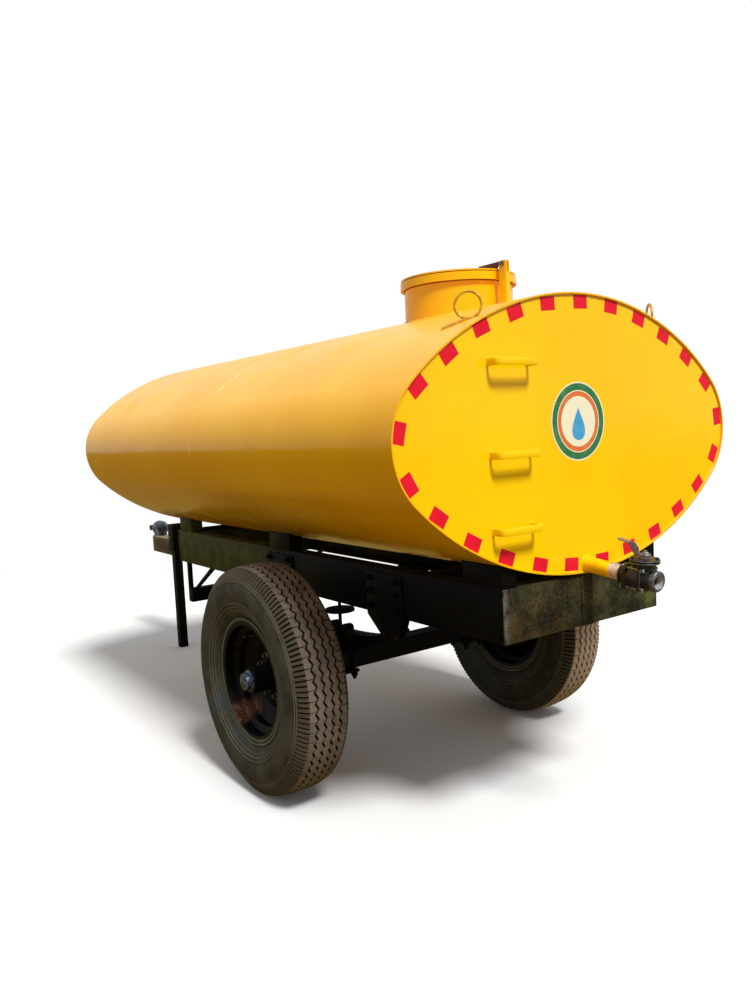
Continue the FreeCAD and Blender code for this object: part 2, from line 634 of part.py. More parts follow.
def member_flanges(x0, x1):
    t = CHANNEL_FLANGE_THICKNESS
    top = box(x0, x1, -FRAME_TOE_Y, FRAME_TOE_Y, FRAME_TOP_Z - t, FRAME_TOP_Z)
    bottom = box(x0, x1, -FRAME_TOE_Y, FRAME_TOE_Y, FRAME_BOTTOM_Z, FRAME_BOTTOM_Z + t)
    return [top, bottom]


def inner_member(x):
    """A coped channel between the rails, its web's rear face at x and its flanges forward."""
    t = CHANNEL_FLANGE_THICKNESS
    web_y = FRAME_HALF_WIDTH - CHANNEL_WEB
    web = box(x, x + CHANNEL_WEB, -FRAME_TOE_Y, FRAME_TOE_Y, FRAME_BOTTOM_Z, FRAME_TOP_Z)
    coped = box(x, x + CHANNEL_WEB, -web_y, web_y, FRAME_BOTTOM_Z + t, FRAME_TOP_Z - t)
    return web.fuse([coped] + member_flanges(x + CHANNEL_WEB, x + CHANNEL_FLANGE))


def make_frame():
    rail_x0 = FRAME_REAR_X + CHANNEL_WEB
    rail_x1 = FRAME_FRONT_X - CHANNEL_WEB
    for name, side in SIDES:
        save(f"frame_rail_{name}", channel(rail_x0, rail_x1, side * FRAME_HALF_WIDTH))
    save("cross_member_rear", end_member(FRAME_REAR_X, 1))
    save("cross_member_front", end_member(FRAME_FRONT_X, -1))
    for name, share in INNER_MEMBERS:
        save(f"cross_member_{name}", inner_member(FRAME_REAR_X + share * FRAME_LENGTH))
    for place, share, length in SADDLES:
        x = FRAME_REAR_X + share * (FRAME_LENGTH - length)
        for name, side in SIDES:
            save(f"saddle_{place}_{name}", sided(saddle(x, length), side))


def saddle(x, length):
    """A folded post on the rail: an outer plate with two end plates under the tank."""
    t = SADDLE_THICKNESS
    y1, y0 = FRAME_HALF_WIDTH, FRAME_TOE_Y
    high = TANK_Z
    post = box(x, x + length, y0, y1, FRAME_TOP_Z, high)
    hollow = box(x + t, x + length - t, y0, y1 - t, FRAME_TOP_Z, high)
    return post.cut(hollow).cut(TANK_ENVELOPE)


def make_drop_frame():
    """A beam under the front of the chassis, on a strap and a slanting brace each side."""
    bottom = FRAME_BOTTOM_Z - DROP_BELOW_FRAME - DROP_BEAM_DEPTH
    top = bottom + DROP_BEAM_DEPTH
    half = DROP_BEAM_WIDTH / 2
    beam = box(DROP_X - half, DROP_X + half, -DROP_HALF_WIDTH, DROP_HALF_WIDTH, bottom, top)
    y1 = DROP_HALF_WIDTH
    y0 = y1 - DROP_STRAP
    strap = box(DROP_X + half - DROP_STRAP, DROP_X + half, y0, y1, top, FRAME_BOTTOM_Z)
    t = DROP_BRACE_THICKNESS
    foot_x = DROP_X - half
    reach_x = foot_x - DROP_BRACE_REACH
    corners = ((foot_x + t, top), (foot_x, top), (reach_x, FRAME_BOTTOM_Z),
               (reach_x + 2 * t, FRAME_BOTTOM_Z))
    points = []
    for x, z in corners + corners[:1]:
        points.append(V(x, y0 - DROP_STRAP, z))
    brace = Part.Face(Part.makePolygon(points)).extrude(V(0, DROP_STRAP, 0))
    save("drop_frame", beam.fuse([strap, brace, mirrored(strap), mirrored(brace)]))


# ---- drawbar and parking leg -----------------------------------------------------------------

def make_drawbar():
    half = DRAWBAR_WIDTH / 2
    bottom = DRAWBAR_TOP_Z - DRAWBAR_DEPTH
    save("drawbar", box(DRAWBAR_REAR_X, DRAWBAR_FRONT_X, -half, half, bottom, DRAWBAR_TOP_Z))
    axis = (HITCH_REAR_X, 0, EYE_Z), (HITCH_FRONT_X, 0, EYE_Z)
    foot = box(HITCH_REAR_X, HITCH_FRONT_X, -HITCH_FOOT / 2, HITCH_FOOT / 2, DRAWBAR_TOP_Z, EYE_Z)
    housing = rod(HITCH_RADIUS, *axis).fuse(foot)
    save("hitch_bracket", housing.cut(rod(SHANK_RADIUS + PIN_CLEARANCE, *axis)))
    half_eye = EYE_THICKNESS / 2
    ring = Part.makeCylinder(EYE_RADIUS, EYE_THICKNESS, V(EYE_X, 0, EYE_Z - half_eye))
    neck = rod(EYE_NECK_RADIUS, (HITCH_FRONT_X, 0, EYE_Z), (EYE_X - EYE_BORE_RADIUS, 0, EYE_Z))
    nut_x = HITCH_REAR_X - EYE_NUT_HEIGHT
    nut = rod(EYE_NUT_RADIUS, (nut_x, 0, EYE_Z), (HITCH_REAR_X, 0, EYE_Z))
    shank = rod(SHANK_RADIUS, (nut_x - EYE_NUT_HEIGHT / 2, 0, EYE_Z), (EYE_X, 0, EYE_Z))
    bore = Part.makeCylinder(EYE_BORE_RADIUS, 2 * EYE_RADIUS, V(EYE_X, 0, EYE_Z - EYE_RADIUS))
    save("tow_eye", ring.fuse([neck, nut, shank]).cut(bore))


def make_leg():
    half = LEG_SIDE / 2
    leg_top = DRAWBAR_TOP_Z + LEG_TOP_ABOVE_DRAWBAR
    leg = box(LEG_X - half, LEG_X + half, LEG_Y - half, LEG_Y + half, 0, leg_top)
    inner_y = DRAWBAR_WIDTH / 2
    outer_y = LEG_Y + half + LEG_GAP + BRACKET_PLATE
    bore = rod(LEG_PIN_RADIUS + PIN_CLEARANCE, (LEG_X, inner_y, LEG_PIVOT_Z),
               (LEG_X, outer_y, LEG_PIVOT_Z))
    save("parking_leg", leg.cut(bore))
    stop_x = LEG_X + half + LEG_STOP_GAP
    x0 = LEG_X - half - BRACKET_BEHIND_LEG
    x1 = stop_x + BRACKET_PLATE
    z0 = DRAWBAR_TOP_Z - BRACKET_BELOW_DRAWBAR_TOP
    z1 = leg_top
    plates = [
        box(x0, x1, inner_y, inner_y + BRACKET_PLATE, z0, z1),
        box(x0, x1, outer_y - BRACKET_PLATE, outer_y, z0, z1),
        box(stop_x, x1, inner_y, outer_y, z0, z0 + BRACKET_STOP_HEIGHT),
    ]
    pin_hole = rod(LEG_PIN_RADIUS, (LEG_X, inner_y, LEG_PIVOT_Z), (LEG_X, outer_y, LEG_PIVOT_Z))
    save("leg_bracket", plates[0].fuse(plates[1:]).cut(pin_hole))
    head = rod(2 * LEG_PIN_RADIUS, (LEG_X, outer_y, LEG_PIVOT_Z),
               (LEG_X, outer_y + LEG_PIN_RADIUS, LEG_PIVOT_Z))
    save("leg_pin", pin_hole.fuse(head))


# ---- axle, springs and wheels ------------------------------------------------------------------

def make_axle():
    half = AXLE_BEAM / 2
    beam_end = WHEEL_Y + HUB_INNER_END - AXLE_TO_HUB_GAP
    spindle_end = WHEEL_Y + HUB_OUTER_END - SPINDLE_END_GAP * 2
    beam = box(-half, half, -beam_end, beam_end, AXLE_Z - half, AXLE_Z + half)
    spindle = rod(SPINDLE_RADIUS, (0, -spindle_end, AXLE_Z), (0, spindle_end, AXLE_Z))
    seat = box(-SPRING_SEAT_REACH, SPRING_SEAT_REACH, SPRING_Y - SPRING_WIDTH / 2,
               SPRING_Y + SPRING_WIDTH / 2, AXLE_Z + half, SPRING_BOTTOM_Z)
    save("axle_beam", beam.fuse([spindle, seat, mirrored(seat)]))


def leaf(index, half_length):
    """One spring leaf: a strip between two arcs about the same centre."""
    centre_z = SPRING_TOP_Z + SPRING_RADIUS
    top = SPRING_RADIUS + index * SPRING_LEAF
    angle = half_length / SPRING_RADIUS
    y0 = SPRING_Y - SPRING_WIDTH / 2

    def on_arc(radius, turn):
        return (radius * math.sin(turn), y0, centre_z - radius * math.cos(turn))

    upper = [on_arc(top, turn) for turn in (-angle, 0, angle)]
    lower = [on_arc(top + SPRING_LEAF, turn) for turn in (angle, 0, -angle)]
    edges = [arc(*upper), line(upper[2], lower[0]), arc(*lower), line(lower[2], upper[0])]
    return face_of(edges).extrude(V(0, SPRING_WIDTH, 0))


def spring_eye_z():
    """Height of an eye's centre: it sits on the end of the main leaf."""
    reach = math.sqrt(SPRING_RADIUS ** 2 - SPRING_EYE_X ** 2)
    return SPRING_TOP_Z + SPRING_RADIUS - reach + SPRING_EYE_RADIUS - SPRING_LEAF


def make_spring():
    eye_z = spring_eye_z()
    y0, y1 = SPRING_Y - SPRING_WIDTH / 2, SPRING_Y + SPRING_WIDTH / 2
    leaves = []
    for index in range(SPRING_LEAVES):
        share = 1 - index / (SPRING_LEAVES + 1)
        leaves.append(leaf(index, SPRING_EYE_X * share))
    eyes = []
    bores = []
    for x in (-SPRING_EYE_X, SPRING_EYE_X):
        eyes.append(rod(SPRING_EYE_RADIUS, (x, y0, eye_z), (x, y1, eye_z)))
        bores.append(rod(SPRING_PIN_RADIUS + PIN_CLEARANCE, (x, y0, eye_z), (x, y1, eye_z)))
    spring = leaves[0].fuse(leaves[1:] + eyes)
    for bore in bores:
        spring = spring.cut(bore)
    for name, side in SIDES:
        save(f"leaf_spring_{name}", sided(spring, side))


def hanger(x, pin_z):
    """Cheeks each side of a spring pin under the rail, the outer one up the rail's web."""
    inner_y = SPRING_Y - SPRING_WIDTH / 2 - SPRING_SIDE_GAP
    outer_y = FRAME_HALF_WIDTH
    half = HANGER_ROOF / 2
    high = FRAME_TOP_Z - CHANNEL_FLANGE_THICKNESS * 2
    outer = hanger_cheek(x, outer_y, pin_z, HANGER_FOOT / 2, high)
    inner = hanger_cheek(x, inner_y - HANGER_PLATE, pin_z, half, FRAME_BOTTOM_Z)
    roof = box(x - half, x + half, inner_y - HANGER_PLATE, outer_y + HANGER_PLATE,
               FRAME_BOTTOM_Z - HANGER_PLATE, FRAME_BOTTOM_Z)
    pin = rod(SPRING_PIN_RADIUS, (x, inner_y - HANGER_PLATE, pin_z),
              (x, outer_y + HANGER_PLATE, pin_z))
    return outer.fuse([inner, roof, pin])


def hanger_cheek(x, y, pin_z, half, high):
    """A plate that narrows to a round end about the spring pin."""
    r = HANGER_END_RADIUS
    shoulder = FRAME_BOTTOM_Z - HANGER_PLATE
    outline = ((-half, high), (half, high), (half, shoulder), (r, pin_z), (-r, pin_z),
               (-half, shoulder), (-half, high))
    corners = []
    for dx, z in outline:
        corners.append(V(x + dx, y, z))
    plate = Part.Face(Part.makePolygon(corners)).extrude(V(0, HANGER_PLATE, 0))
    return plate.fuse(rod(r, (x, y, pin_z), (x, y + HANGER_PLATE, pin_z)))


def make_hangers():
    eye_z = spring_eye_z()
    for name, side in SIDES:
        save(f"spring_hanger_front_{name}", sided(hanger(SPRING_EYE_X, eye_z), side))
        save(f"spring_hanger_rear_{name}", sided(hanger(-SPRING_EYE_X, eye_z), side))


def make_clamp():
    """Two U-bolts over a pad on the spring, and the plate that they clamp under the axle."""
    half = AXLE_BEAM / 2
    r = U_BOLT_RADIUS
    plate_top = AXLE_Z - half
    plate_bottom = plate_top - SPRING_LEAF
    y0, y1 = SPRING_Y - SPRING_WIDTH / 2, SPRING_Y + SPRING_WIDTH / 2
    leg_y0, leg_y1 = y0 - U_BOLT_GAP - r, y1 + U_BOLT_GAP + r
    pad_top = SPRING_TOP_Z + CLAMP_PAD
    bow_z = pad_top + r - U_BOLT_BITE
    low = plate_bottom - SPRING_LEAF
    bolts = []
    for x in (-half - r, half + r):
        corners = ((x, leg_y0, low), (x, leg_y0, bow_z), (x, leg_y1, bow_z), (x, leg_y1, low))
        bolts.append(bent_rod(r, U_BOLT_BEND, corners))
    reach = half + 3 * r
    plate = box(-reach, reach, leg_y0 - 2 * r, leg_y1 + 2 * r, plate_bottom, plate_top)
    pad = box(-reach, reach, y0, y1, SPRING_TOP_Z - SPRING_LEAF, pad_top)
    pad = pad.cut(leaf(0, SPRING_EYE_X)).cut(leaf(1, SPRING_EYE_X))
    stop_x = -STOP_BEHIND_AXLE
    stud_top = FRAME_BOTTOM_Z - STOP_STUD_TO_FRAME
    stud = rod(STOP_STUD_RADIUS, (stop_x, SPRING_Y, pad_top - CLAMP_PAD / 2),
               (stop_x, SPRING_Y, stud_top))
    disc_z = FRAME_BOTTOM_Z - STOP_DISC_TO_FRAME
    disc = rod(STOP_DISC_RADIUS, (stop_x, SPRING_Y, disc_z - STOP_DISC_THICKNESS),
               (stop_x, SPRING_Y, disc_z))
    clamp = plate.fuse([pad, stud, disc] + bolts)
    for name, side in SIDES:
        save(f"spring_clamp_{name}", sided(clamp, side))


def tyre_face(wheel_side):
    """Half sections of the carcass, outboard and inboard, joined over the tread."""
    flange = RIM_HALF_WIDTH
    bulge_r = (TYRE_RADIUS + RIM_FLANGE_RADIUS) / 2
    outer = (
        (TYRE_RADIUS, TREAD_FLAT_HALF_WIDTH),
        (TYRE_RADIUS - TREAD_SHOULDER_DROP, TREAD_HALF_WIDTH),
        (bulge_r, TYRE_HALF_WIDTH),
        (RIM_FLANGE_RADIUS + RIM_LIP, flange + RIM_LIP),
        (RIM_FLANGE_RADIUS, flange),
        (RIM_SEAT_RADIUS, flange - RIM_BEAD_SET_IN),
        (RIM_SEAT_RADIUS - RIM_BEAD_DROP, flange - RIM_BEAD_WIDTH),
    )
    inner = (
        (RIM_SEAT_RADIUS - RIM_BEAD_DROP + TYRE_WALL, flange - RIM_BEAD_WIDTH),
        (bulge_r, TYRE_HALF_WIDTH - TYRE_WALL),
        (TYRE_RADIUS - TREAD_SHOULDER_DROP - TREAD_THICKNESS, TREAD_HALF_WIDTH - TYRE_WALL),
        (TYRE_RADIUS - TREAD_THICKNESS, TREAD_FLAT_HALF_WIDTH),
    )

    def at(point, flip):
        radius, outboard = point
        return (0, wheel_side * (WHEEL_Y + flip * outboard), AXLE_Z + radius)

    edges = []
    for flip in (1, -1):
        o = [at(point, flip) for point in outer]
        i = [at(point, flip) for point in inner]
        edges += [line(o[0], o[1]), arc(o[1], o[2], o[3])]
        edges += [line(o[3], o[4]), line(o[4], o[5]), line(o[5], o[6]), line(o[6], i[0])]
        edges += [arc(i[0], i[1], i[2]), line(i[2], i[3])]
    edges.append(line(at(outer[0], 1), at(outer[0], -1)))
    edges.append(line(at(inner[3], 1), at(inner[3], -1)))
    return Part.Face(Part.Wire(Part.__sortEdges__(edges)))


def rim_points():
    """Corners of the rim and its dished disc, as (radius, outboard)."""
    t = RIM_THICKNESS
    edge = RIM_HALF_WIDTH
    shelf = edge - RIM_BEAD_WIDTH
    shelf_r = RIM_SEAT_RADIUS - RIM_BEAD_DROP
    well = edge - RIM_WELL_EDGE
    lip = edge + RIM_LIP
    outside = [(RIM_FLANGE_RADIUS, lip), (RIM_FLANGE_RADIUS, edge),
               (RIM_SEAT_RADIUS, edge - RIM_BEAD_SET_IN), (shelf_r, shelf),
               (RIM_WELL_RADIUS, well)]
    inside = [(RIM_FLANGE_RADIUS - t, lip), (RIM_SEAT_RADIUS - t, edge + RIM_INNER_STEP),
              (shelf_r - t, shelf + RIM_INNER_STEP), (RIM_WELL_RADIUS - t, well + RIM_INNER_STEP)]
    disc_r = RIM_WELL_RADIUS - t
    bend_r = disc_r - DISC_SLOPE
    face = DISC_FACE
    back = DISC_FACE - DISC_THICKNESS
    disc = [(disc_r, DISC_EDGE), (bend_r, face), (DISC_HOLE_RADIUS, face),
            (DISC_HOLE_RADIUS, back), (bend_r, back), (disc_r, DISC_EDGE - DISC_THICKNESS)]
    far_outside = [(r, -y) for r, y in reversed(outside)]
    far_inside = [(r, -y) for r, y in inside]
    return outside + far_outside + far_inside + disc[::-1] + inside[::-1]


def hub_points():
    face = DISC_FACE - DISC_THICKNESS
    bore = SPINDLE_RADIUS + SPINDLE_CLEARANCE
    bore_end = HUB_OUTER_END - SPINDLE_END_GAP
    cap_end = HUB_OUTER_END + HUB_CAP_LENGTH
    return [(bore, HUB_INNER_END), (HUB_BARREL_RADIUS, HUB_INNER_END),
            (HUB_BARREL_RADIUS, face - HUB_FLANGE_THICKNESS),
            (HUB_FLANGE_RADIUS, face - HUB_FLANGE_THICKNESS), (HUB_FLANGE_RADIUS, face),
            (HUB_BARREL_RADIUS, face), (HUB_BARREL_RADIUS, HUB_OUTER_END),
            (HUB_CAP_RADIUS, HUB_OUTER_END), (HUB_CAP_RADIUS, cap_end), (0, cap_end),
            (0, bore_end), (bore, bore_end)]


def make_wheels():
    for name, side in SIDES:
        tyre = tyre_face(side).revolve(V(0, 0, AXLE_Z), V(0, 1, 0), 360)
        save(f"tyre_{name}", tyre)
        save(f"rim_{name}", revolved(rim_points(), side))
        save(f"hub_{name}", revolved(hub_points(), side))


os.makedirs("parts", exist_ok=True)
make_tank()
make_manhole()
make_lid()
make_hinge_post()
make_lifting_rings()
make_steps()
make_outlet()
make_frame()
make_drop_frame()
make_drawbar()
make_leg()
make_axle()
make_spring()
make_hangers()
make_clamp()
make_wheels()
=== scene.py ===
# %% [markdown]
# # A two-wheel water tanker trailer
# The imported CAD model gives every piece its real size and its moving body. This script gives the pieces
# their looks: enamel, rubber, tread, welds, bolts, tape and dirt. Lengths are in metres, +X points to the
# towing eye, +Y to the left and +Z up.

import cmath
import json
import math

import bmesh
import bpy
from mathutils import Matrix, Vector

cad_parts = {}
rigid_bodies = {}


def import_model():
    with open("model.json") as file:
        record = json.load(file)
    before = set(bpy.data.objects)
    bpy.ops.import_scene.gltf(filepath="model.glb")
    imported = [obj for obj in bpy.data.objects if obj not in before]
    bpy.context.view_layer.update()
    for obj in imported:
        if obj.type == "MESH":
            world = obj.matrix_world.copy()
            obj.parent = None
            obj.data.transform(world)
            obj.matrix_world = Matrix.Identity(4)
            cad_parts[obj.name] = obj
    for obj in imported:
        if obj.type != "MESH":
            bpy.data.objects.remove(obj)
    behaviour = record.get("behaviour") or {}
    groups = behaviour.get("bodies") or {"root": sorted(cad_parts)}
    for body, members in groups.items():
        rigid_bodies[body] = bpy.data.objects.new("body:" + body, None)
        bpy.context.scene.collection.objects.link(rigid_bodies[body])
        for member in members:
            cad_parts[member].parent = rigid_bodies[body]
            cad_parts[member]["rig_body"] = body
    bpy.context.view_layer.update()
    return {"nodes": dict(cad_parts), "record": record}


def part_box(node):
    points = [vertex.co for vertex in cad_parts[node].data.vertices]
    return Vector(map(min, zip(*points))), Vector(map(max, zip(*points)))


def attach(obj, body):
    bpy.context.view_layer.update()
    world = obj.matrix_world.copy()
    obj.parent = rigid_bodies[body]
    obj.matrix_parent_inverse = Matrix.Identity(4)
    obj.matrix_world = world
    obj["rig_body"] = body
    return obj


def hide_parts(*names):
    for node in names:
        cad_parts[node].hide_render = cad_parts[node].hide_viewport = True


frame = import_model()
nodes = frame["nodes"]

# %% [markdown]
# ## Small helpers
# Colours are written as the hex codes that a paint maker would give, and one function turns them into
# Blender's linear colours. One more function adds a node to any tree, sets its properties, and fills or
# links its inputs, so that a whole material reads as a list of nodes.


# %% Colour and node helpers
def linear(code):
    """An sRGB hex code as a linear colour."""
    values = [int(code[i:i + 2], 16) / 255 for i in (1, 3, 5)]
    return [v / 12.92 if v <= 0.04045 else ((v + 0.055) / 1.055) ** 2.4 for v in values] + [1.0]


def fill(tree, made, inputs):
    """Set a node's inputs; each is a link, a node for its first output, a hex code or a value."""
    for socket, value in inputs.items():
        if isinstance(value, (bpy.types.NodeSocket, bpy.types.Node)):
            link = value.outputs[0] if isinstance(value, bpy.types.Node) else value
            tree.links.new(link, made.inputs[socket])
        else:
            coded = isinstance(value, str) and value.startswith("#")
            made.inputs[socket].default_value = linear(value) if coded else value


def node(tree, kind, inputs=None, **settings):
    """Add one node to a tree, set its properties, and fill its inputs."""
    made = tree.nodes.new(kind)
    for name, value in settings.items():
        setattr(made, name, value)
    fill(tree, made, inputs or {})
    return made


def new_material(name):
    """An empty node material with a Principled shader, and the tree that it lives in."""
    material = bpy.data.materials.new(name)
    material.use_nodes = True
    tree = material.node_tree
    return material, tree, tree.nodes["Principled BSDF"]


print("white is", linear("#ffffff"))

# %% [markdown]
# ## Patterns that several finishes share
# Dirt on a working trailer is never even. It sits on faces that look up, it gathers in broad clouds, and
# small specks break it up. These helpers build those masks from noise whose scale is worked out from a
# real size in millimetres, and a ramp gives each mask its edge. A finish is then a stack of coats, each
# laid on through its own mask.


# %% Masks
def place(tree):
    """Object coordinates, in metres, which stay with the piece when it turns."""
    return node(tree, "ShaderNodeTexCoord").outputs["Object"]


def ramp(tree, value, low=0.0, high=1.0, first=0.0, last=1.0, curve="LINEAR"):
    """A number that is first at low and last at high, and level beyond them; low may be the larger."""
    return node(tree, "ShaderNodeMapRange", {
        "Value": value, "From Min": low, "From Max": high, "To Min": first, "To Max": last},
        interpolation_type=curve)


def cloud(tree, size_mm, low, high, stretch=(1, 1, 1), roughness=0.55):
    """A soft mask whose patches are about size_mm across: 0 below low and 1 above high."""
    at = node(tree, "ShaderNodeMapping", {"Vector": place(tree), "Scale": stretch})
    field = node(tree, "ShaderNodeTexNoise", {
        "Vector": at, "Scale": 1000 / size_mm, "Detail": 4.0, "Roughness": roughness})
    return ramp(tree, field, low, high, curve="SMOOTHSTEP")


def facing_up(tree, low, high):
    """1 on faces that look up and 0 on the others, by the way the surface faces."""
    way = node(tree, "ShaderNodeTexCoord").outputs["Normal"]
    return ramp(tree, node(tree, "ShaderNodeSeparateXYZ", {"Vector": way}).outputs["Z"], low, high)


def along(tree, axis, low, high):
    """0 at low and 1 at high along an axis, in metres; low may be the larger."""
    across = node(tree, "ShaderNodeSeparateXYZ", {"Vector": place(tree)})
    return ramp(tree, across.outputs[axis], low, high, curve="SMOOTHSTEP")


print("three masks: clouds, faces that look up, and a fade along an axis")


# %% Masks together, coats and relief
def times(tree, *masks):
    """Where all of these masks lie; a plain number among them thins the rest."""
    every = masks[0]
    for mask in masks[1:]:
        every = node(tree, "ShaderNodeMath", {0: every, 1: mask}, operation="MULTIPLY", use_clamp=True)
    return every


def plus(tree, *masks):
    """Where any of these masks lies: their sum, kept below 1."""
    any_of = masks[0]
    for mask in masks[1:]:
        any_of = node(tree, "ShaderNodeMath", {0: any_of, 1: mask}, operation="ADD", use_clamp=True)
    return any_of


def coats(tree, under, *over):
    """A colour with others laid over it in turn; each is (mask, colour)."""
    for mask, colour in over:
        under = node(tree, "ShaderNodeMix", {"Factor": mask, 6: under, 7: colour},
                     data_type="RGBA").outputs[2]
    return under


def relief(tree, scale, detail, depth_mm, under=None):
    """A bump of noise, with lumps about 1000 / scale millimetres across and depth_mm high in full."""
    field = node(tree, "ShaderNodeTexNoise", {"Vector": place(tree), "Scale": scale, "Detail": detail})
    inputs = {"Height": field, "Distance": depth_mm / 1000, "Strength": 1.0}
    return node(tree, "ShaderNodeBump", inputs | ({"Normal": under} if under else {}))


print("masks multiply and add, and coats and relief are laid on through them")


# %% [markdown]
# ## Tank enamel
# The tank is rolled sheet steel with a glossy alkyd enamel, sprayed on. Spraying leaves a faint orange
# peel, a few millimetres across, and rolled sheet is never quite flat, so reflections wander over the
# shell. Faces that look up are a little paler: thin dust, and a painted pale sheen on the crown. Below
# the middle the enamel darkens in ochre runs towards the belly: dust washed down by rain, and painted
# shade.


# %% Tank enamel
# share of the pale coat on faces that look up: thin dust, and a painted pale sheen on the crown
CROWN_DUST_AND_SHEEN = 0.16
SHEET_WAVE_MM = 3.0
PEEL_MM = 0.012


def tank_enamel(name, paint, shade, dust_share):
    """Glossy alkyd enamel, sprayed on steel sheet."""
    material, tree, shader = new_material(name)
    tone = coats(tree, paint, (cloud(tree, 700, 0.35, 0.65), shade))
    # darker ochre in vertical runs, growing from the middle down to the belly: dust washed down by rain,
    # and painted shade on a belly that faces the ground
    runs = cloud(tree, 60, 0.55, 0.8, stretch=(1, 1, 0.09))
    dirt = times(tree, runs, along(tree, "Z", 1.5, 1.02), dust_share)
    specks = times(tree, cloud(tree, 14, 0.68, 0.74), 0.12 * dust_share)
    runs_specks_and_low_shade = plus(tree, dirt, specks)
    # faces that look up are painted paler cream: thin dust, and a painted sheen of pale sky on the crown
    crown = times(tree, facing_up(tree, 0.15, 0.95), CROWN_DUST_AND_SHEEN * dust_share)
    polish = ramp(tree, plus(tree, runs_specks_and_low_shade, cloud(tree, 180, 0.4, 0.9)), first=0.13, last=0.34)
    dull_top = times(tree, facing_up(tree, 0.2, 1.1), 0.16)
    fill(tree, shader, {
        "Base Color": coats(tree, tone, (crown, "#f0e6d4"), (runs_specks_and_low_shade, "#8a6414")),
        "Roughness": plus(tree, polish, dull_top),
        "Normal": relief(tree, 330.0, 1.0, PEEL_MM, under=relief(tree, 3.4, 1.0, SHEET_WAVE_MM)),
        "IOR": 1.5, "Specular IOR Level": 0.2})
    return material


# the head and the shell wear one paint; the head's copy is painted lighter and more lemon, as the face in
# sun, and the shell's more orange, as the flank in shade
tank_paint = tank_enamel("Alkyd enamel, tank yellow", "#ffbf06", "#fab404", 0.45)
head_paint_sunlit = tank_enamel("Alkyd enamel, rear head, painted sunlit", "#ffcf08", "#ffc806", 0.15)
print(tank_paint.name, "and", head_paint_sunlit.name)

# %% Outlet pipe, bare at its end
def middle(name):
    """The middle of a node's box."""
    low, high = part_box(name)
    return (low + high) / 2


HEAD_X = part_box("rear_head")[0].x
PIPE_BARE_FROM = 0.128


def pipe_enamel():
    """The head's enamel on steam pipe; the last few centimetres, in the fitter's hands, are bare."""
    material, tree, shader = new_material("Alkyd enamel, worn pipe")
    end = HEAD_X - PIPE_BARE_FROM
    ragged = ramp(tree, cloud(tree, 18, 0.3, 0.7), last=0.45)
    bare = ramp(tree, plus(tree, along(tree, "X", end + 0.03, end - 0.012), ragged), 0.62, 0.98)
    steel = coats(tree, "#c4aca4", (cloud(tree, 9, 0.4, 0.6), "#ddc8bb"))
    fill(tree, shader, {
        "Base Color": coats(tree, "#ffd000", (cloud(tree, 30, 0.4, 0.7), "#f0b400"), (bare, steel)),
        "Roughness": ramp(tree, bare, first=0.3, last=0.5),
        "IOR": 1.5, "Specular IOR Level": 0.4})
    return material


pipe_paint = pipe_enamel()
print("pipe bare beyond", PIPE_BARE_FROM)

# %% [markdown]
# ## Chassis enamel
# The chassis is hot-rolled channel, brushed with black enamel straight over the mill scale. A year of
# farm roads has put a film of olive dust over it, thick on flat flanges and thin on webs, and the enamel
# has chipped to rust along a few edges and low places. The front half, which runs in the tractor's dust,
# is olive all over. Old brushed enamel has lost its gloss, so its specular level is low.


# %% Chassis enamel
AXLE_X, _, AXLE_Z = middle("axle_beam")
FRONT_DUST = AXLE_X + 0.75
MEMBER_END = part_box("cross_member_rear")[1].y


def chassis_enamel(name, paint, dust, dust_share, rust_share, front=0.0):
    """Black enamel brushed on rolled steel, under dust and small rust chips."""
    material, tree, shader = new_material(name)
    film = times(tree, cloud(tree, 240, 0.3, 0.7), dust_share)
    tops = times(tree, facing_up(tree, 0.3, 0.95), min(1.0, dust_share * 1.3))
    settled = plus(tree, film, tops)
    patches = cloud(tree, 26, 0.63, 0.69, roughness=0.7)
    rust = times(tree, patches, cloud(tree, 210, 0.5, 0.62), rust_share)
    ahead = times(tree, along(tree, "X", FRONT_DUST - 0.35, FRONT_DUST), front)
    olive = coats(tree, "#31370f", (cloud(tree, 90, 0.4, 0.7), "#4c5322"))
    flecks = times(tree, cloud(tree, 10, 0.52, 0.7, roughness=0.7), 0.5)
    fleck = coats(tree, "#12120d", (ahead, "#4f542c"))
    rusty = coats(tree, "#4c2e1c", (cloud(tree, 9, 0.35, 0.65), "#6b452b"))
    fill(tree, shader, {
        "Base Color": coats(tree, paint, (settled, dust), (ahead, olive), (flecks, fleck), (rust, rusty)),
        "Roughness": ramp(tree, plus(tree, settled, rust), first=0.5, last=0.85),
        "Normal": relief(tree, 130.0, 3.0, 0.35),
        "IOR": 1.5, "Specular IOR Level": 0.08})
    return material


chassis_paint = chassis_enamel("Black enamel on channel steel", "#030303", "#24231a", 0.14, 0.35,
                               front=0.95)
gear_paint = chassis_enamel("Black enamel, running gear", "#050606", "#232219", 0.25, 0.8)
bar_paint = chassis_enamel("Drawbar enamel under pale dust", "#3f3a28", "#8f8260", 1.0, 0.5)
leg_paint = chassis_enamel("Black enamel, parking leg", "#060606", "#302f26", 0.25, 0.5)
print("four chassis finishes, axle at", round(AXLE_X, 4))


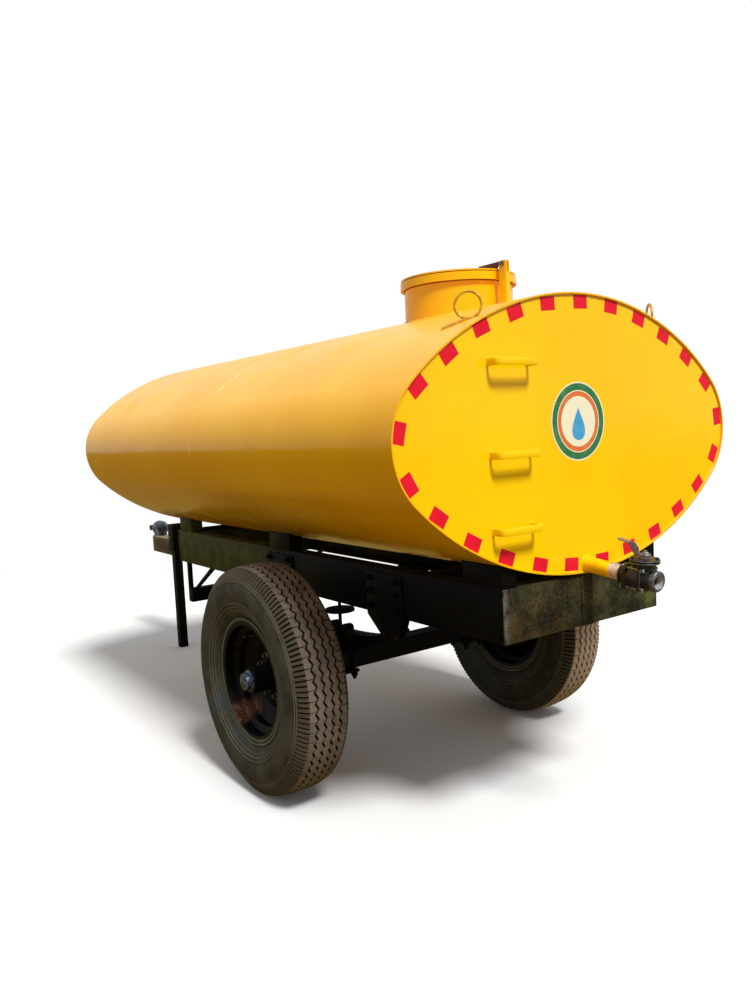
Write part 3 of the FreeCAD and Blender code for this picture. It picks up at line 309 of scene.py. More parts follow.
# %% The rear member's enamel
def rear_enamel():
    """The rear member's enamel, sand-blasted by the wheels: mottled olive, browner to the left, and pale
    at the left end, with worn paint and a painted highlight on its corner.
    """
    material, tree, shader = new_material("Black enamel, rear member")
    brown = coats(tree, "#17130c", (cloud(tree, 70, 0.35, 0.7), "#45351c"))
    leftwards = times(tree, along(tree, "Y", -0.35, 0.1), 0.75)
    # the last 35 mm at the left end are painted pale grey in patches: worn paint, and a painted highlight
    # on the corner
    left_end = along(tree, "Y", MEMBER_END - 0.035, MEMBER_END)
    worn_and_highlit_end = times(tree, left_end, cloud(tree, 30, 0.3, 0.6), 0.75)
    grit = times(tree, cloud(tree, 9, 0.5, 0.7, roughness=0.75), 0.38)
    pits = times(tree, cloud(tree, 14, 0.5, 0.36, roughness=0.7), 0.6)
    chips = times(tree, cloud(tree, 22, 0.62, 0.7, roughness=0.7), cloud(tree, 190, 0.5, 0.6))
    fill(tree, shader, {
        "Base Color": coats(tree, "#1c1d10", (cloud(tree, 110, 0.35, 0.68), "#5a5d38"),
                            (leftwards, brown), (worn_and_highlit_end, "#6d6d63"), (grit, "#6a6844"),
                            (pits, "#0b0b07"), (chips, "#5e4128")),
        "Roughness": 0.75,
        "Normal": relief(tree, 110.0, 4.0, 0.8),
        "IOR": 1.5, "Specular IOR Level": 0.12})
    return material


rear_paint = rear_enamel()
print(rear_paint.name)

# %% [markdown]
# ## Rubber, iron and small parts
# Tyre rubber is black, but a farm tyre is grey-brown with dust that fills the tread. The valve is cast
# iron with black paint, its lever is plated steel, and the gasket is red rubber. Each finish below keeps
# to the same few masks.


# %% Tyre rubber
def tyre_rubber():
    """Moulded carbon-black rubber: dusty ribs, olive dirt on the walls, painted shade in the grooves and
    painted highlights on the wall's rings.
    """
    material, tree, shader = new_material("Tyre rubber, dusty")
    deep, down, raised = (node(tree, "ShaderNodeAttribute", attribute_name=name).outputs["Fac"]
                          for name in ("groove", "wall", "raised"))
    ribs = coats(tree, "#5c534a", (cloud(tree, 110, 0.3, 0.7), "#7d7165"),
                 (cloud(tree, 12, 0.5, 0.75), "#8a7d6e"))
    wet = times(tree, along(tree, "X", AXLE_X - 0.05, AXLE_X + 0.2),
                along(tree, "Z", AXLE_Z + 0.05, AXLE_Z - 0.2), cloud(tree, 130, 0.35, 0.6), 0.55)
    wall = coats(tree, "#2a2922", (cloud(tree, 150, 0.35, 0.68), "#46453a"),
                 (times(tree, cloud(tree, 45, 0.45, 0.65), 0.6), "#4a4032"),
                 (times(tree, cloud(tree, 11, 0.52, 0.72, roughness=0.75), 0.5), "#6f6656"),
                 (wet, "#33474f"))
    low = ramp(tree, down, 0.01, 0.03)
    shoulder = times(tree, low, ramp(tree, down, 0.3, 0.04), 0.55)
    far_side = times(tree, along(tree, "Y", 0.2, -0.2), 0.8, ramp(tree, low, first=1.0, last=0.0))
    fill(tree, shader, {
        "Base Color": coats(tree, ribs, (low, wall), (shoulder, "#5d5343"),
                            # the raised rings on the wall are painted paler grey: a painted highlight
                            # along each ring
                            (times(tree, raised, 0.55), "#8d8878"), (far_side, "#c8b09a"),
                            # groove floors, slits and lug feet are painted near-black: painted shade in
                            # the hollows
                            (deep, "#0b0908")),
        "Roughness": 0.72,
        "Normal": relief(tree, 380.0, 3.0, 0.4),
        "IOR": 1.52, "Specular IOR Level": 0.25})
    return material


rubber = tyre_rubber()
print(rubber.name)


# %% Wheel enamel
def from_axle(tree, near, far, ahead=0.0, above=0.0):
    """0 at one distance from the axle's line, or from a line beside it, and 1 at another."""
    line = (AXLE_X + ahead, 0.0, AXLE_Z + above)
    beside = node(tree, "ShaderNodeVectorMath", {0: place(tree), 1: line}, operation="SUBTRACT")
    level = node(tree, "ShaderNodeVectorMath", {0: beside, 1: (1.0, 0.0, 1.0)}, operation="MULTIPLY")
    reach = node(tree, "ShaderNodeVectorMath", {0: level}, operation="LENGTH").outputs["Value"]
    return ramp(tree, reach, near, far)


def wheel_enamel():
    """Black enamel dipped on a pressed wheel: dust on the flange, soot in the well, rust in patches, and
    painted highlights along the flange's edges.
    """
    material, tree, shader = new_material("Black enamel, wheel")
    flange = from_axle(tree, 0.255, 0.265)
    spot = times(tree, from_axle(tree, 0.068, 0.03, 0.15, -0.195), along(tree, "Y", 0.3, 0.5))
    strays = times(tree, cloud(tree, 60, 0.6, 0.75), 0.25)
    rust = times(tree, plus(tree, spot, strays), cloud(tree, 30, 0.25, 0.5, roughness=0.7))
    rusty = coats(tree, "#573228", (cloud(tree, 14, 0.35, 0.65), "#84604e"))
    dusty = coats(tree, "#2a2d25", (cloud(tree, 90, 0.35, 0.7), "#474a3c"))
    # two thin rings, at the flange's inner and outer edges, are painted pale grey: painted highlights
    inner = times(tree, from_axle(tree, 0.2645, 0.2665), from_axle(tree, 0.2725, 0.2695))
    edge_highlight = times(tree, plus(tree, inner, from_axle(tree, 0.2795, 0.2825)), 0.6)
    fill(tree, shader, {
        "Base Color": coats(tree, "#030303", (cloud(tree, 120, 0.45, 0.75), "#0d0b08"), (rust, rusty),
                            (flange, dusty), (edge_highlight, "#8b8f82")),
        "Roughness": ramp(tree, plus(tree, flange, rust), first=0.45, last=0.7),
        "Normal": relief(tree, 90.0, 2.0, 0.3),
        "IOR": 1.5, "Specular IOR Level": 0.12})
    return material


rim_paint = wheel_enamel()
print(rim_paint.name)


# %% Finishes of the small parts
def plain(name, colour, other, roughness, metallic=0.0, size_mm=20, grit_mm=0.1):
    """A simple finish: two tones in patches of size_mm, and a fine grit."""
    material, tree, shader = new_material(name)
    patches = cloud(tree, size_mm, 0.35, 0.65)
    fill(tree, shader, {
        "Base Color": coats(tree, colour, (patches, other)),
        "Roughness": ramp(tree, patches, first=roughness, last=min(1.0, roughness + 0.2)),
        "Normal": relief(tree, 420.0, 2.0, grit_mm),
        "Metallic": metallic})
    return material


iron = plain("Cast iron, black paint", "#0d0d12", "#1b1a1e", 0.3, size_mm=18, grit_mm=0.6)
lever_steel = plain("Plated steel lever", "#a08a86", "#6d5c66", 0.35, metallic=0.35, size_mm=22)
worn_steel = plain("Turned steel, worn", "#9a9a9c", "#55565a", 0.3, metallic=0.7, size_mm=16)
# grey steel tinted blue, in bright and near-black patches: a painted reflection of the sky on the cap
cap_steel_blue_sheen = plain("Hub cap, pressed steel, painted blue sheen", "#66738f", "#0c0f16", 0.3, metallic=0.5, size_mm=13)
zinc = plain("Zinc-plated steel, dull", "#8b8d80", "#5f6052", 0.4, metallic=0.8)
gasket_rubber = plain("Red rubber sheet", "#a3271f", "#7a1d18", 0.7)
oxide = plain("Red oxide primer on steel", "#5e231c", "#45170f", 0.55, size_mm=60)
ochre = plain("Enamel over rust, ring", "#e6b020", "#b5841c", 0.4)
fin_steel = plain("Blued steel", "#8587a6", "#6b6a86", 0.35, metallic=0.2, size_mm=18)
bare_steel = plain("Bare steel bore", "#b3aeb0", "#8f8a8e", 0.5, size_mm=12)
ring_steel = plain("Cast iron, worn grey", "#6e7073", "#3c3d40", 0.4, metallic=0.4, size_mm=14,
                   grit_mm=0.4)
# dark steel tinted light blue-grey: a painted bluish reflection on the oiled hitch
hitch_iron_blue_sheen = plain("Cast steel, oiled, painted blue sheen", "#6d8090", "#333c46", 0.34, metallic=0.45, size_mm=34)
eye_steel = plain("Forged steel, rusted", "#2b1d15", "#4a3324", 0.55, metallic=0.3, size_mm=25,
                  grit_mm=0.4)
# wheel nuts and air valves are painted lighter than the black wheel: rubbed metal, and painted glints on
# the nuts
nut_steel_rubbed_and_glint = plain("Wheel nut, rubbed black, painted glint", "#6a645c", "#2b2927", 0.38, metallic=0.5, size_mm=16)
print(f"{len(bpy.data.materials)} materials so far")

# %% [markdown]
# ## Give every CAD node its finish
# A table pairs name beginnings with finishes. CAD faces come in model.glb as loose triangles, which
# would catch the light on knife edges. So each node in the edge table below is copied, its doubles are
# merged, its flat faces are joined, and a narrow bevel rounds its edges, as a grinder or a die does.

# %% Finishes by name
# each finish with the beginnings of its nodes' names; all the others are in chassis paint
FINISHES = (
    (tank_paint, "tank_ front_head manhole_ lid_handle lid_hinge_post"),
    (head_paint_sunlit, "rear_head rear_steps"), (gasket_rubber, "lid_gasket"), (oxide, "lid_hinge_strap"),
    (zinc, "lid_hinge_pin leg_pin"), (ochre, "lifting_"), (pipe_paint, "outlet_pipe"),
    (iron, "ball_valve hose_adapter"), (lever_steel, "valve_lever"),
    (gear_paint, "drop_frame axle_ leaf_ spring_ hub_"), (rear_paint, "cross_member_rear outlet_support"),
    (bar_paint, "drawbar"), (hitch_iron_blue_sheen, "hitch_"), (eye_steel, "tow_eye"),
    (leg_paint, "leg_bracket parking_leg"), (rim_paint, "rim_"), (rubber, "tyre_"), (chassis_paint, ""),
)


def finish_for(name):
    return next(finish for finish, starts in FINISHES if name.startswith(tuple(starts.split(" "))))


for name, cad in nodes.items():
    cad.data.materials.clear()
    cad.data.materials.append(finish_for(name))
print("every CAD node has a finish")

# %% Standing for a CAD node
BODY_OF = {name: cad["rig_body"] for name, cad in nodes.items()}


def stand_for(piece, *names):
    """The piece takes the place and body of these CAD nodes, which are hidden."""
    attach(piece, BODY_OF[names[0]])
    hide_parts(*names)
    return piece


def new_piece(name, mesh, *finishes):
    piece = bpy.data.objects.new(name, mesh)
    bpy.context.scene.collection.objects.link(piece)
    for finish in finishes:
        mesh.materials.append(finish)
    return piece


# %% Copies with rounded edges
def smooth_by_angle(mesh, degrees=32):
    """Smooth shading, with the edges over that angle kept sharp."""
    mesh.shade_smooth()
    mesh.set_sharp_from_angle(angle=math.radians(degrees))


def to_mesh(work, name, outwards=True):
    """End the work on a mesh, with its faces turned outwards."""
    if outwards:
        # which way is out is judged by the stored normals, and a turned or new face has old ones or none
        work.normal_update()
        bmesh.ops.recalc_face_normals(work, faces=work.faces)
    mesh = bpy.data.meshes.new(name)
    work.to_mesh(mesh)
    work.free()
    return mesh


def settle(piece):
    """Replace a piece's modifiers by the mesh that they make."""
    graph = bpy.context.evaluated_depsgraph_get()
    mesh = bpy.data.meshes.new_from_object(piece.evaluated_get(graph))
    piece.modifiers.clear()
    piece.data = mesh
    smooth_by_angle(mesh)


def round_edges(piece, edge_mm, degrees):
    """A bevel on the edges that turn by more than this."""
    bevel = piece.modifiers.new("Rounded edges", "BEVEL")
    bevel.width = edge_mm / 1000
    bevel.segments = 2
    bevel.limit_method = "ANGLE"
    bevel.angle_limit = math.radians(degrees)
    bevel.use_clamp_overlap = True


def rounded_copy(name, edge_mm):
    """The node's own solid, with its edges rounded, standing for the node."""
    work = bmesh.new()
    work.from_mesh(nodes[name].data)
    bmesh.ops.remove_doubles(work, verts=work.verts, dist=1e-5)
    bmesh.ops.dissolve_limit(work, angle_limit=math.radians(0.5), verts=work.verts, edges=work.edges)
    piece = new_piece(name + "_rounded", to_mesh(work, name + "_rounded", False), finish_for(name))
    round_edges(piece, edge_mm, 40)
    smooth_by_angle(piece.data)
    settle(piece)
    return stand_for(piece, name)


print("tools for plain meshes and edges")

# %% The rounded copies
# edge radius in millimetres, with the beginnings of the names
EDGES = (
    (1.0, "leaf_spring_ spring_"), (1.2, "lid_hinge_strap"),
    (1.5, "saddle_ hitch_ leg_bracket outlet_support lid_hinge_post rear_steps"),
    (2.0, "frame_rail_ cross_member_ drop_frame"), (3.0, "parking_leg"), (4.0, "axle_beam tow_eye"),
    (5.0, "drawbar"),
)
for edge_mm, starts in EDGES:
    for name in [n for n in nodes if n.startswith(tuple(starts.split()))]:
        rounded_copy(name, edge_mm)
for name, cad in nodes.items():
    smooth_by_angle(cad.data, 30)

# %% [markdown]
# ## Shapes that repeat
# A tyre's tread, its wheel nuts and the bolts of a bracket are one small shape, many times over. Geometry
# Nodes place such copies by rule. The first tree below turns a part about an axle. The second stands a
# part on each point of a cloud of points that knows which way is out. Both end in Realize Instances and
# Set Material, and the result is turned into a plain mesh.


# %% The tools for node trees
def new_tree(name, **sockets):
    """A geometry node tree with named inputs; each keyword says the type of its socket."""
    tree = bpy.data.node_groups.new(name, "GeometryNodeTree")
    for label, kind in sockets.items():
        tree.interface.new_socket(label, in_out="INPUT", socket_type="NodeSocket" + kind)
    tree.interface.new_socket("Geometry", in_out="OUTPUT", socket_type="NodeSocketGeometry")
    return tree, node(tree, "NodeGroupInput").outputs


def close_tree(tree, geometry, material, weld=0.0):
    """End a tree: realise the copies, join their seams if asked, and set the material."""
    solid = node(tree, "GeometryNodeRealizeInstances", {"Geometry": geometry})
    if weld:
        solid = node(tree, "GeometryNodeMergeByDistance", {"Geometry": solid, "Distance": weld})
    solid = node(tree, "GeometryNodeSetMaterial", {"Geometry": solid, "Material": material})
    node(tree, "NodeGroupOutput", {"Geometry": solid})
    return tree


def grow(name, tree, body, base=None, **values):
    """Run a tree on a base mesh with these inputs, and keep the result as a plain mesh on a body."""
    host = bpy.data.objects.new(name, base or bpy.data.meshes.new(name))
    bpy.context.scene.collection.objects.link(host)
    modifier = host.modifiers.new("Nodes", "NODES")
    modifier.node_group = tree
    for item in tree.interface.items_tree:
        if item.in_out == "INPUT" and item.name in values:
            modifier[item.identifier] = values[item.name]
    settle(host)
    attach(host, body)
    print(f"{name}: {sum(len(p.vertices) - 2 for p in host.data.polygons)} triangles")
    return host


def template(name, mesh):
    """A part for the trees to copy. It is removed once they have run."""
    part = bpy.data.objects.new("part_" + name, mesh)
    bpy.context.scene.collection.objects.link(part)
    part.hide_render = True
    return part


print("tools for trees")


# %% The two trees that copy
def turned_copies():
    """Copies of a part, turned about an axis along Y through a centre."""
    tree, given = new_tree("Turned copies", Base="Geometry", Part="Object", Count="Int",
                           Centre="Vector", Material="Material")
    part = node(tree, "GeometryNodeObjectInfo", {"Object": given["Part"]}).outputs["Geometry"]
    places = node(tree, "GeometryNodePoints", {"Count": given["Count"], "Position": given["Centre"]})
    share = node(tree, "ShaderNodeMath", {0: math.tau, 1: given["Count"]}, operation="DIVIDE")
    index = node(tree, "GeometryNodeInputIndex")
    turn = node(tree, "ShaderNodeMath", {0: index, 1: share}, operation="MULTIPLY")
    spin = node(tree, "ShaderNodeCombineXYZ", {"Y": turn})
    copies = node(tree, "GeometryNodeInstanceOnPoints", {
        "Points": places, "Instance": part, "Rotation": spin})
    return close_tree(tree, copies, given["Material"], weld=2e-5)


def standing_copies():
    """A copy of a part on each point of the base, its +Z along the point's 'out' attribute."""
    tree, given = new_tree("Standing copies", Base="Geometry", Part="Object", Seed="Int",
                           Spin="Float", Material="Material")
    part = node(tree, "GeometryNodeObjectInfo", {"Object": given["Part"]}).outputs["Geometry"]
    out = node(tree, "GeometryNodeInputNamedAttribute", {"Name": "out"}, data_type="FLOAT_VECTOR")
    stand = node(tree, "FunctionNodeAlignRotationToVector", {"Vector": out}, axis="Z")
    spin = node(tree, "FunctionNodeRandomValue", {
        "Min": 0.0, "Max": given["Spin"], "Seed": given["Seed"]}, data_type="FLOAT")
    about = node(tree, "ShaderNodeCombineXYZ", {"Z": spin.outputs["Value"]})
    both = node(tree, "FunctionNodeRotateRotation", {
        "Rotation": stand, "Rotate By": about}, rotation_space="LOCAL")
    copies = node(tree, "GeometryNodeInstanceOnPoints", {
        "Points": given["Base"], "Instance": part, "Rotation": both})
    return close_tree(tree, copies, given["Material"])


TURNED = turned_copies()
STANDING = standing_copies()
print("two trees for copies")

# %% [markdown]
# ## Tyres
# A ribbed farm-trailer tyre has zigzag grooves round it, a thin slit in each pitch of its shoulder rib
# and a comb of small lugs on each shoulder. One pitch, 1/72 of a turn, is drawn as a strip: a cross-
# section that is repeated at a few angles while the groove points sway from side to side, with a pair of
# lugs standing on each shoulder. The first tree turns 72 of them about the axle and welds them into one
# tyre. Attributes mark the groove floors, the way down the wall and the rings that stand on it, so that
# the rubber can change with them.

# %% The cross-section of the tyre
TYRE_RADIUS = 0.509
TREAD_EDGE = 0.097
RIB_EDGE = 0.0862
GROOVES = (-0.055, -0.0185, 0.0185, 0.055)
GROOVE_WIDTH = 0.0118
GROOVE_DEPTH = 0.012
SWAY = 0.0062
PITCHES = 72
# one pitch, as shares of its length; the slit lies between the fourth and fifth lines
STATIONS = (0.0, 0.25, 0.44, 0.452, 0.528, 0.54, 0.75)
SLIT_STATIONS = (3, 4)
SLIT_DEPTH = 0.007
SLIT_FROM = 0.0715
LUGS = 2
LUG_WIDTH = 0.0128
LUG_HEIGHT = 0.0095
LUG_FOOT = 1.2
LUG_START = 0.46
LUG_END = 0.20
LUG_SHARES = (0.01, 0.035, 0.065, 0.10, 0.135, 0.17, LUG_END)
# thin raised rings round the wall below the lugs: (share, width as a share)
WALL_RINGS = ((0.222, 0.008), (0.27, 0.010), (0.72, 0.008), (0.80, 0.012), (0.88, 0.008))
RING_HEIGHT = 0.0022


def crown(y):
    """Radius of the tread's surface, which falls gently towards the shoulders."""
    return TYRE_RADIUS - 0.0003 - 0.0107 * (abs(y) / TREAD_EDGE) ** 2.6


print(round(2 * math.pi * TYRE_RADIUS / PITCHES * 1000, 1), "mm pitch and", PITCHES * LUGS, "lugs a side")

# %% The wall's arc
# The wall is an arc through three points just inside the CAD tyre's own. A point is one complex
# number, its distance out and its radius, which makes the circle through three of them short to write.
WALL_TOP, WALL_SIDE, WALL_FOOT = complex(0.0965, 0.4975), complex(0.1325, 0.397), complex(0.1, 0.293)
turned = (WALL_FOOT - WALL_TOP) / (WALL_SIDE - WALL_TOP)
WALL_MIDDLE = WALL_TOP + (WALL_SIDE - WALL_TOP) * (turned - abs(turned) ** 2) / (2j * turned.imag)
WALL_RADIUS = abs(WALL_TOP - WALL_MIDDLE)
WALL_FIRST, WALL_LAST = cmath.phase(WALL_TOP - WALL_MIDDLE), cmath.phase(WALL_FOOT - WALL_MIDDLE)


def on_wall(share, lift=0.0):
    """(distance out, radius) at a share of the way from the tread's edge to the rim."""
    angle = WALL_FIRST + (WALL_LAST - WALL_FIRST) * share
    point = WALL_MIDDLE + cmath.rect(WALL_RADIUS + lift, angle)
    return point.real, point.imag


def lug_line(lift):
    """The shoulder's line from the rib's edge to the lugs' foot, this far above the lugs' top."""
    first = [(RIB_EDGE, crown(RIB_EDGE) + lift), (0.0915, crown(0.0915) + lift),
             (TREAD_EDGE + 0.7 * lift, crown(TREAD_EDGE) + 0.7 * lift)]
    return first + [on_wall(share, lift) for share in LUG_SHARES]


print("wall arc of radius", round(WALL_RADIUS, 4))


# %% Rib, shoulder and wall, in one closed section
def wall_lines():
    """(distance out, radius, groove, wall, raised) below the lugs; the rings stand on the arc."""
    lines = [(LUG_END + 0.004, 0.0)]
    for share, width in WALL_RINGS:
        lines += [(share - 0.5 * width - 0.002, 0.0), (share - 0.5 * width, RING_HEIGHT),
                  (share + 0.5 * width, RING_HEIGHT), (share + 0.5 * width + 0.002, 0.0)]
    lines += [(share, 0.0) for share in (0.36, 0.44, 0.52, 0.60, 0.93, 1.0)]
    return [(*on_wall(share, lift), 0.0, share, lift / RING_HEIGHT) for share, lift in sorted(lines)]


def outline(sway):
    """One section, from bead to bead: (distance out, radius, in groove, down the wall, raised)."""
    # the floor between the lugs is marked 1 in the groove column, so it is painted near-black as shade
    floor = [(y, r, 1.0, 0.02, 0.0) for y, r in lug_line(-LUG_HEIGHT)]
    bead = [(y, r, 0.0, 1.0, 0.0) for y, r in ((0.0925, 0.2845), (0.086, 0.2555), (0.051, 0.2535))]
    inner = [(y, r, 0.0, 1.0, 0.0) for y, r in ((0.052, 0.262), (0.112, 0.395), (0.08, 0.47))]
    tread = [(-RIB_EDGE, crown(RIB_EDGE), 0.0, 0.0, 0.0), (-0.072, crown(0.072), 0.0, 0.0, 0.0)]
    for centre in GROOVES:
        y = centre + sway
        for side, deep in ((-0.5, 0), (-0.34, 1), (0.34, 1), (0.5, 0)):
            at = y + side * GROOVE_WIDTH
            tread.append((at, crown(at) - deep * GROOVE_DEPTH, float(deep), 0.0, 0.0))
    tread += [(0.072, crown(0.072), 0.0, 0.0, 0.0), (RIB_EDGE, crown(RIB_EDGE), 0.0, 0.0, 0.0)]
    right = floor + wall_lines() + bead
    return ([(-y, *rest) for y, *rest in right[::-1]] + tread + right + inner
            + [(-y, *rest) for y, *rest in inner[::-1]])


def sway_at(share):
    """The zigzag: 0, out, 0, back."""
    return SWAY * (4 * share if share <= 0.25 else 2 - 4 * share if share <= 0.75 else 4 * share - 4)


def around(y, r, angle):
    return r * math.sin(angle), y, r * math.cos(angle)


print(len(outline(0.0)), "points in a section")


# %% Strip and lug
def skin(work, rings, closed=True):
    """Faces between each ring of corners and the next; a ring of one corner makes a tip."""
    for near, far in zip(rings, rings[1:]):
        count = max(len(near), len(far))
        for i in range(count if closed else count - 1):
            j = (i + 1) % count
            corners = near[i % len(near)], near[j % len(near)], far[j % len(far)], far[i % len(far)]
            work.faces.new(list(dict.fromkeys(corners)))


def add_strip(work, groove, wall, raised):
    """The body of one pitch, with the thin slit cut into each shoulder rib."""
    rings = []
    for number, share in enumerate(STATIONS + (1.0,)):
        ring = []
        for y, r, deep, down, proud in outline(sway_at(share)):
            slit = number in SLIT_STATIONS and down == 0.0 and SLIT_FROM < abs(y) < RIB_EDGE + 0.001
            depth = SLIT_DEPTH if slit else 0.0
            corner = work.verts.new(around(y, r - depth, share * math.tau / PITCHES))
            # slit floors are marked 0.9 in the groove column, so the rubber paints them near-black as
            # shade
            corner[groove], corner[wall], corner[raised] = max(deep, 0.9 * slit), down, proud
            ring.append(corner)
        rings.append(ring)
    skin(work, rings)


def add_lug(work, groove, wall, angle, side):
    """One closed lug, from the rib's edge over the shoulder; its foot is sunk into the strip."""
    top, foot = lug_line(0.0), lug_line(-LUG_HEIGHT - 0.001)
    sections = []
    for turn in (-0.5, 0.5):
        section = []
        # each lug's foot is marked 0.8 in the groove column, so its base is painted dark as shade
        for line, dark in ((top, 0.0), (foot, 0.8)):
            spread = 1.0 if line is top else LUG_FOOT
            corners = []
            at = angle + spread * turn * LUG_WIDTH / TYRE_RADIUS
            for y, r in line:
                corner = work.verts.new(around(side * y, r, at))
                corner[groove], corner[wall] = dark, 0.05
                corners.append(corner)
            section.append(corners)
        sections.append(section)
    (top_a, foot_a), (top_b, foot_b) = sections
    for pair in ((top_a, foot_a), (foot_b, top_b), (top_b, top_a), (foot_a, foot_b)):
        skin(work, pair, closed=False)
    for i in (0, -1):
        work.faces.new((top_a[i], foot_a[i], foot_b[i], top_b[i]))


print("a strip has", len(STATIONS) + 1, "sections")


# %% One pitch of tread
def tread_pitch():
    work = bmesh.new()
    groove = work.verts.layers.float.new("groove")
    wall = work.verts.layers.float.new("wall")
    add_strip(work, groove, wall, work.verts.layers.float.new("raised"))
    for number in range(LUGS):
        for side in (1, -1):
            add_lug(work, groove, wall, (number + LUG_START) / LUGS * math.tau / PITCHES, side)
    return to_mesh(work, "tread_pitch", False)


pitch_part = template("tread", tread_pitch())
print(len(pitch_part.data.polygons), "faces in a pitch")

# %% The tyres
WHEELS = (("left", 1), ("right", -1))
CENTRES = {side: middle("tyre_" + side) for side, _ in WHEELS}
for side, _ in WHEELS:
    tyre = grow("tyre_tread_" + side, TURNED, "wheel_" + side, Part=pitch_part, Count=PITCHES,
                Centre=CENTRES[side], Material=rubber)
    work = bmesh.new()
    work.from_mesh(tyre.data)
    bmesh.ops.recalc_face_normals(work, faces=work.faces)
    work.to_mesh(tyre.data)
    work.free()
    smooth_by_angle(tyre.data, 28)
    stand_for(tyre, "tyre_" + side)

# %% [markdown]
# ## Parts of fasteners
# A hexagon nut with a washer and a stud end is made once from its real sizes and then stood wherever the
# trailer has one. The chamfer of a real nut is the cut of a cone, which a bevel on the outer edges
# comes close to. The same lathe that turns the nuts also turns caps, rings and the valve's body.


# %% Turned solids
def circle(radius, steps):
    """The points of a circle round the middle, from +X towards +Y."""
    return [(radius * math.cos(math.tau * i / steps), radius * math.sin(math.tau * i / steps))
            for i in range(steps)]


def lathe(points, steps=24):
    """A solid of revolution about Z from (radius, height) points: from tip to tip, or else a ring."""
    work = bmesh.new()
    rings = [[work.verts.new((x, y, z)) for x, y in (circle(radius, steps) if radius else [(0, 0)])]
             for radius, z in points]
    skin(work, rings if points[0][0] == 0 else rings + rings[:1])
    return work


def bar(start, end, radius, tip=0.0, cut=0.0, steps=24, at=(0.0, 0.0)):
    """A solid bar along Z, moved to a place; over the last cut of its length it narrows to the tip."""
    shoulder = [(radius, end - cut), (tip, end)] if cut else [(radius, end)]
    work = lathe([(0, start), (radius, start), *shoulder, (0, end)], steps)
    bmesh.ops.translate(work, verts=work.verts, vec=(*at, 0.0))
    return work


def joined(works, name):
    """Several meshes in one."""
    whole = bmesh.new()
    for number, work in enumerate(works):
        mesh = to_mesh(work, f"{name}_{number}")
        whole.from_mesh(mesh)
        bpy.data.meshes.remove(mesh)
    return whole


def assembled(name, works, finish, axes, degrees=35):
    """These meshes as one piece, moved to its axes."""
    whole = joined(works, name)
    whole.transform(axes)
    piece = new_piece(name, to_mesh(whole, name), finish)
    smooth_by_angle(piece.data, degrees)
    return piece


print("a lathe")

# %% Nuts, bolts and washers
WASHER_THICK = 0.0025


def fastener(name, across, height, washer, stud=0.0):
    """A hexagon nut, across flats, standing on z = 0, with a washer and a stud end."""
    works = [bar(0, WASHER_THICK, washer, steps=20),
             bar(WASHER_THICK, height, across / math.sqrt(3), across * 0.5, height * 0.14, 6)]
    if stud:
        works.append(bar(height, height + stud, across * 0.32, across * 0.26, stud * 0.15, 12))
    return template(name, to_mesh(joined(works, name), name))


wheel_nut = fastener("wheel_nut", 0.032, 0.024, stud=0.012, washer=0.021)
big_nut = fastener("big_nut", 0.030, 0.020, stud=0.014, washer=0.019)
mid_nut = fastener("mid_nut", 0.024, 0.015, stud=0.008, washer=0.016)
shank_nut = fastener("shank_nut", 0.050, 0.026, washer=0.030)
air_stem = template("air_stem", to_mesh(lathe([
    (0, -0.004), (0.007, -0.004), (0.007, 0.003), (0.0042, 0.008), (0.0042, 0.034), (0.0052, 0.035),
    (0.0052, 0.046), (0.0042, 0.048), (0, 0.048)], 16), "air_stem"))


def stand_parts(name, body, part, spots, finish, seed, spin=1.0):
    """A copy of the part on each spot, which is (place, way out), as one piece."""
    base = bpy.data.meshes.new(name + "_spots")
    base.from_pydata([spot[0] for spot in spots], [], [])
    layer = base.attributes.new("out", "FLOAT_VECTOR", "POINT")
    layer.data.foreach_set("vector", [value for spot in spots for value in spot[1]])
    grown = grow(name, STANDING, body, base=base, Part=part, Seed=seed, Spin=spin, Material=finish)
    return grown


print("four fasteners and an air valve")

# %% [markdown]
# ## Wheels
# The disc is bolted to the hub flange with studs. A pressed cap closes the hub, and an air valve
# comes through the rim. The lock ring that holds a truck tyre on its rim shows as a second line
# inside the flange.

# %% Wheel nuts, caps, valves and lock rings
NUTS = 8
NUT_CIRCLE = 0.092
STEM_CIRCLE = 0.212
STEM_ANGLE = 0.7
DISC_FACE = -0.030


# closed lists of (radius, outboard) points
LOCK_RING = ((0.2835, 0.0995), (0.2795, 0.1), (0.272, 0.0985), (0.268, 0.094), (0.2665, 0.088),
             (0.275, 0.0885))
HUB_CAP = ((0.046, 0.0945), (0.0465, 0.0985), (0.0405, 0.1005), (0.0388, 0.1025), (0.0388, 0.1195),
           (0.0368, 0.1235), (0.0315, 0.1252), (0.019, 0.126), (0.0175, 0.1275), (0.001, 0.128),
           (0.001, 0.1215), (0.036, 0.1215), (0.036, 0.0945))


def wheel_axes(side, sign):
    """The wheel's own axes: x up, y to the front and z outboard, from the middle of the tyre."""
    axes = Matrix(((0, 0, 1), (1, 0, 0), (0, sign, 0))).transposed().to_4x4()
    axes.translation = CENTRES[side]
    return axes


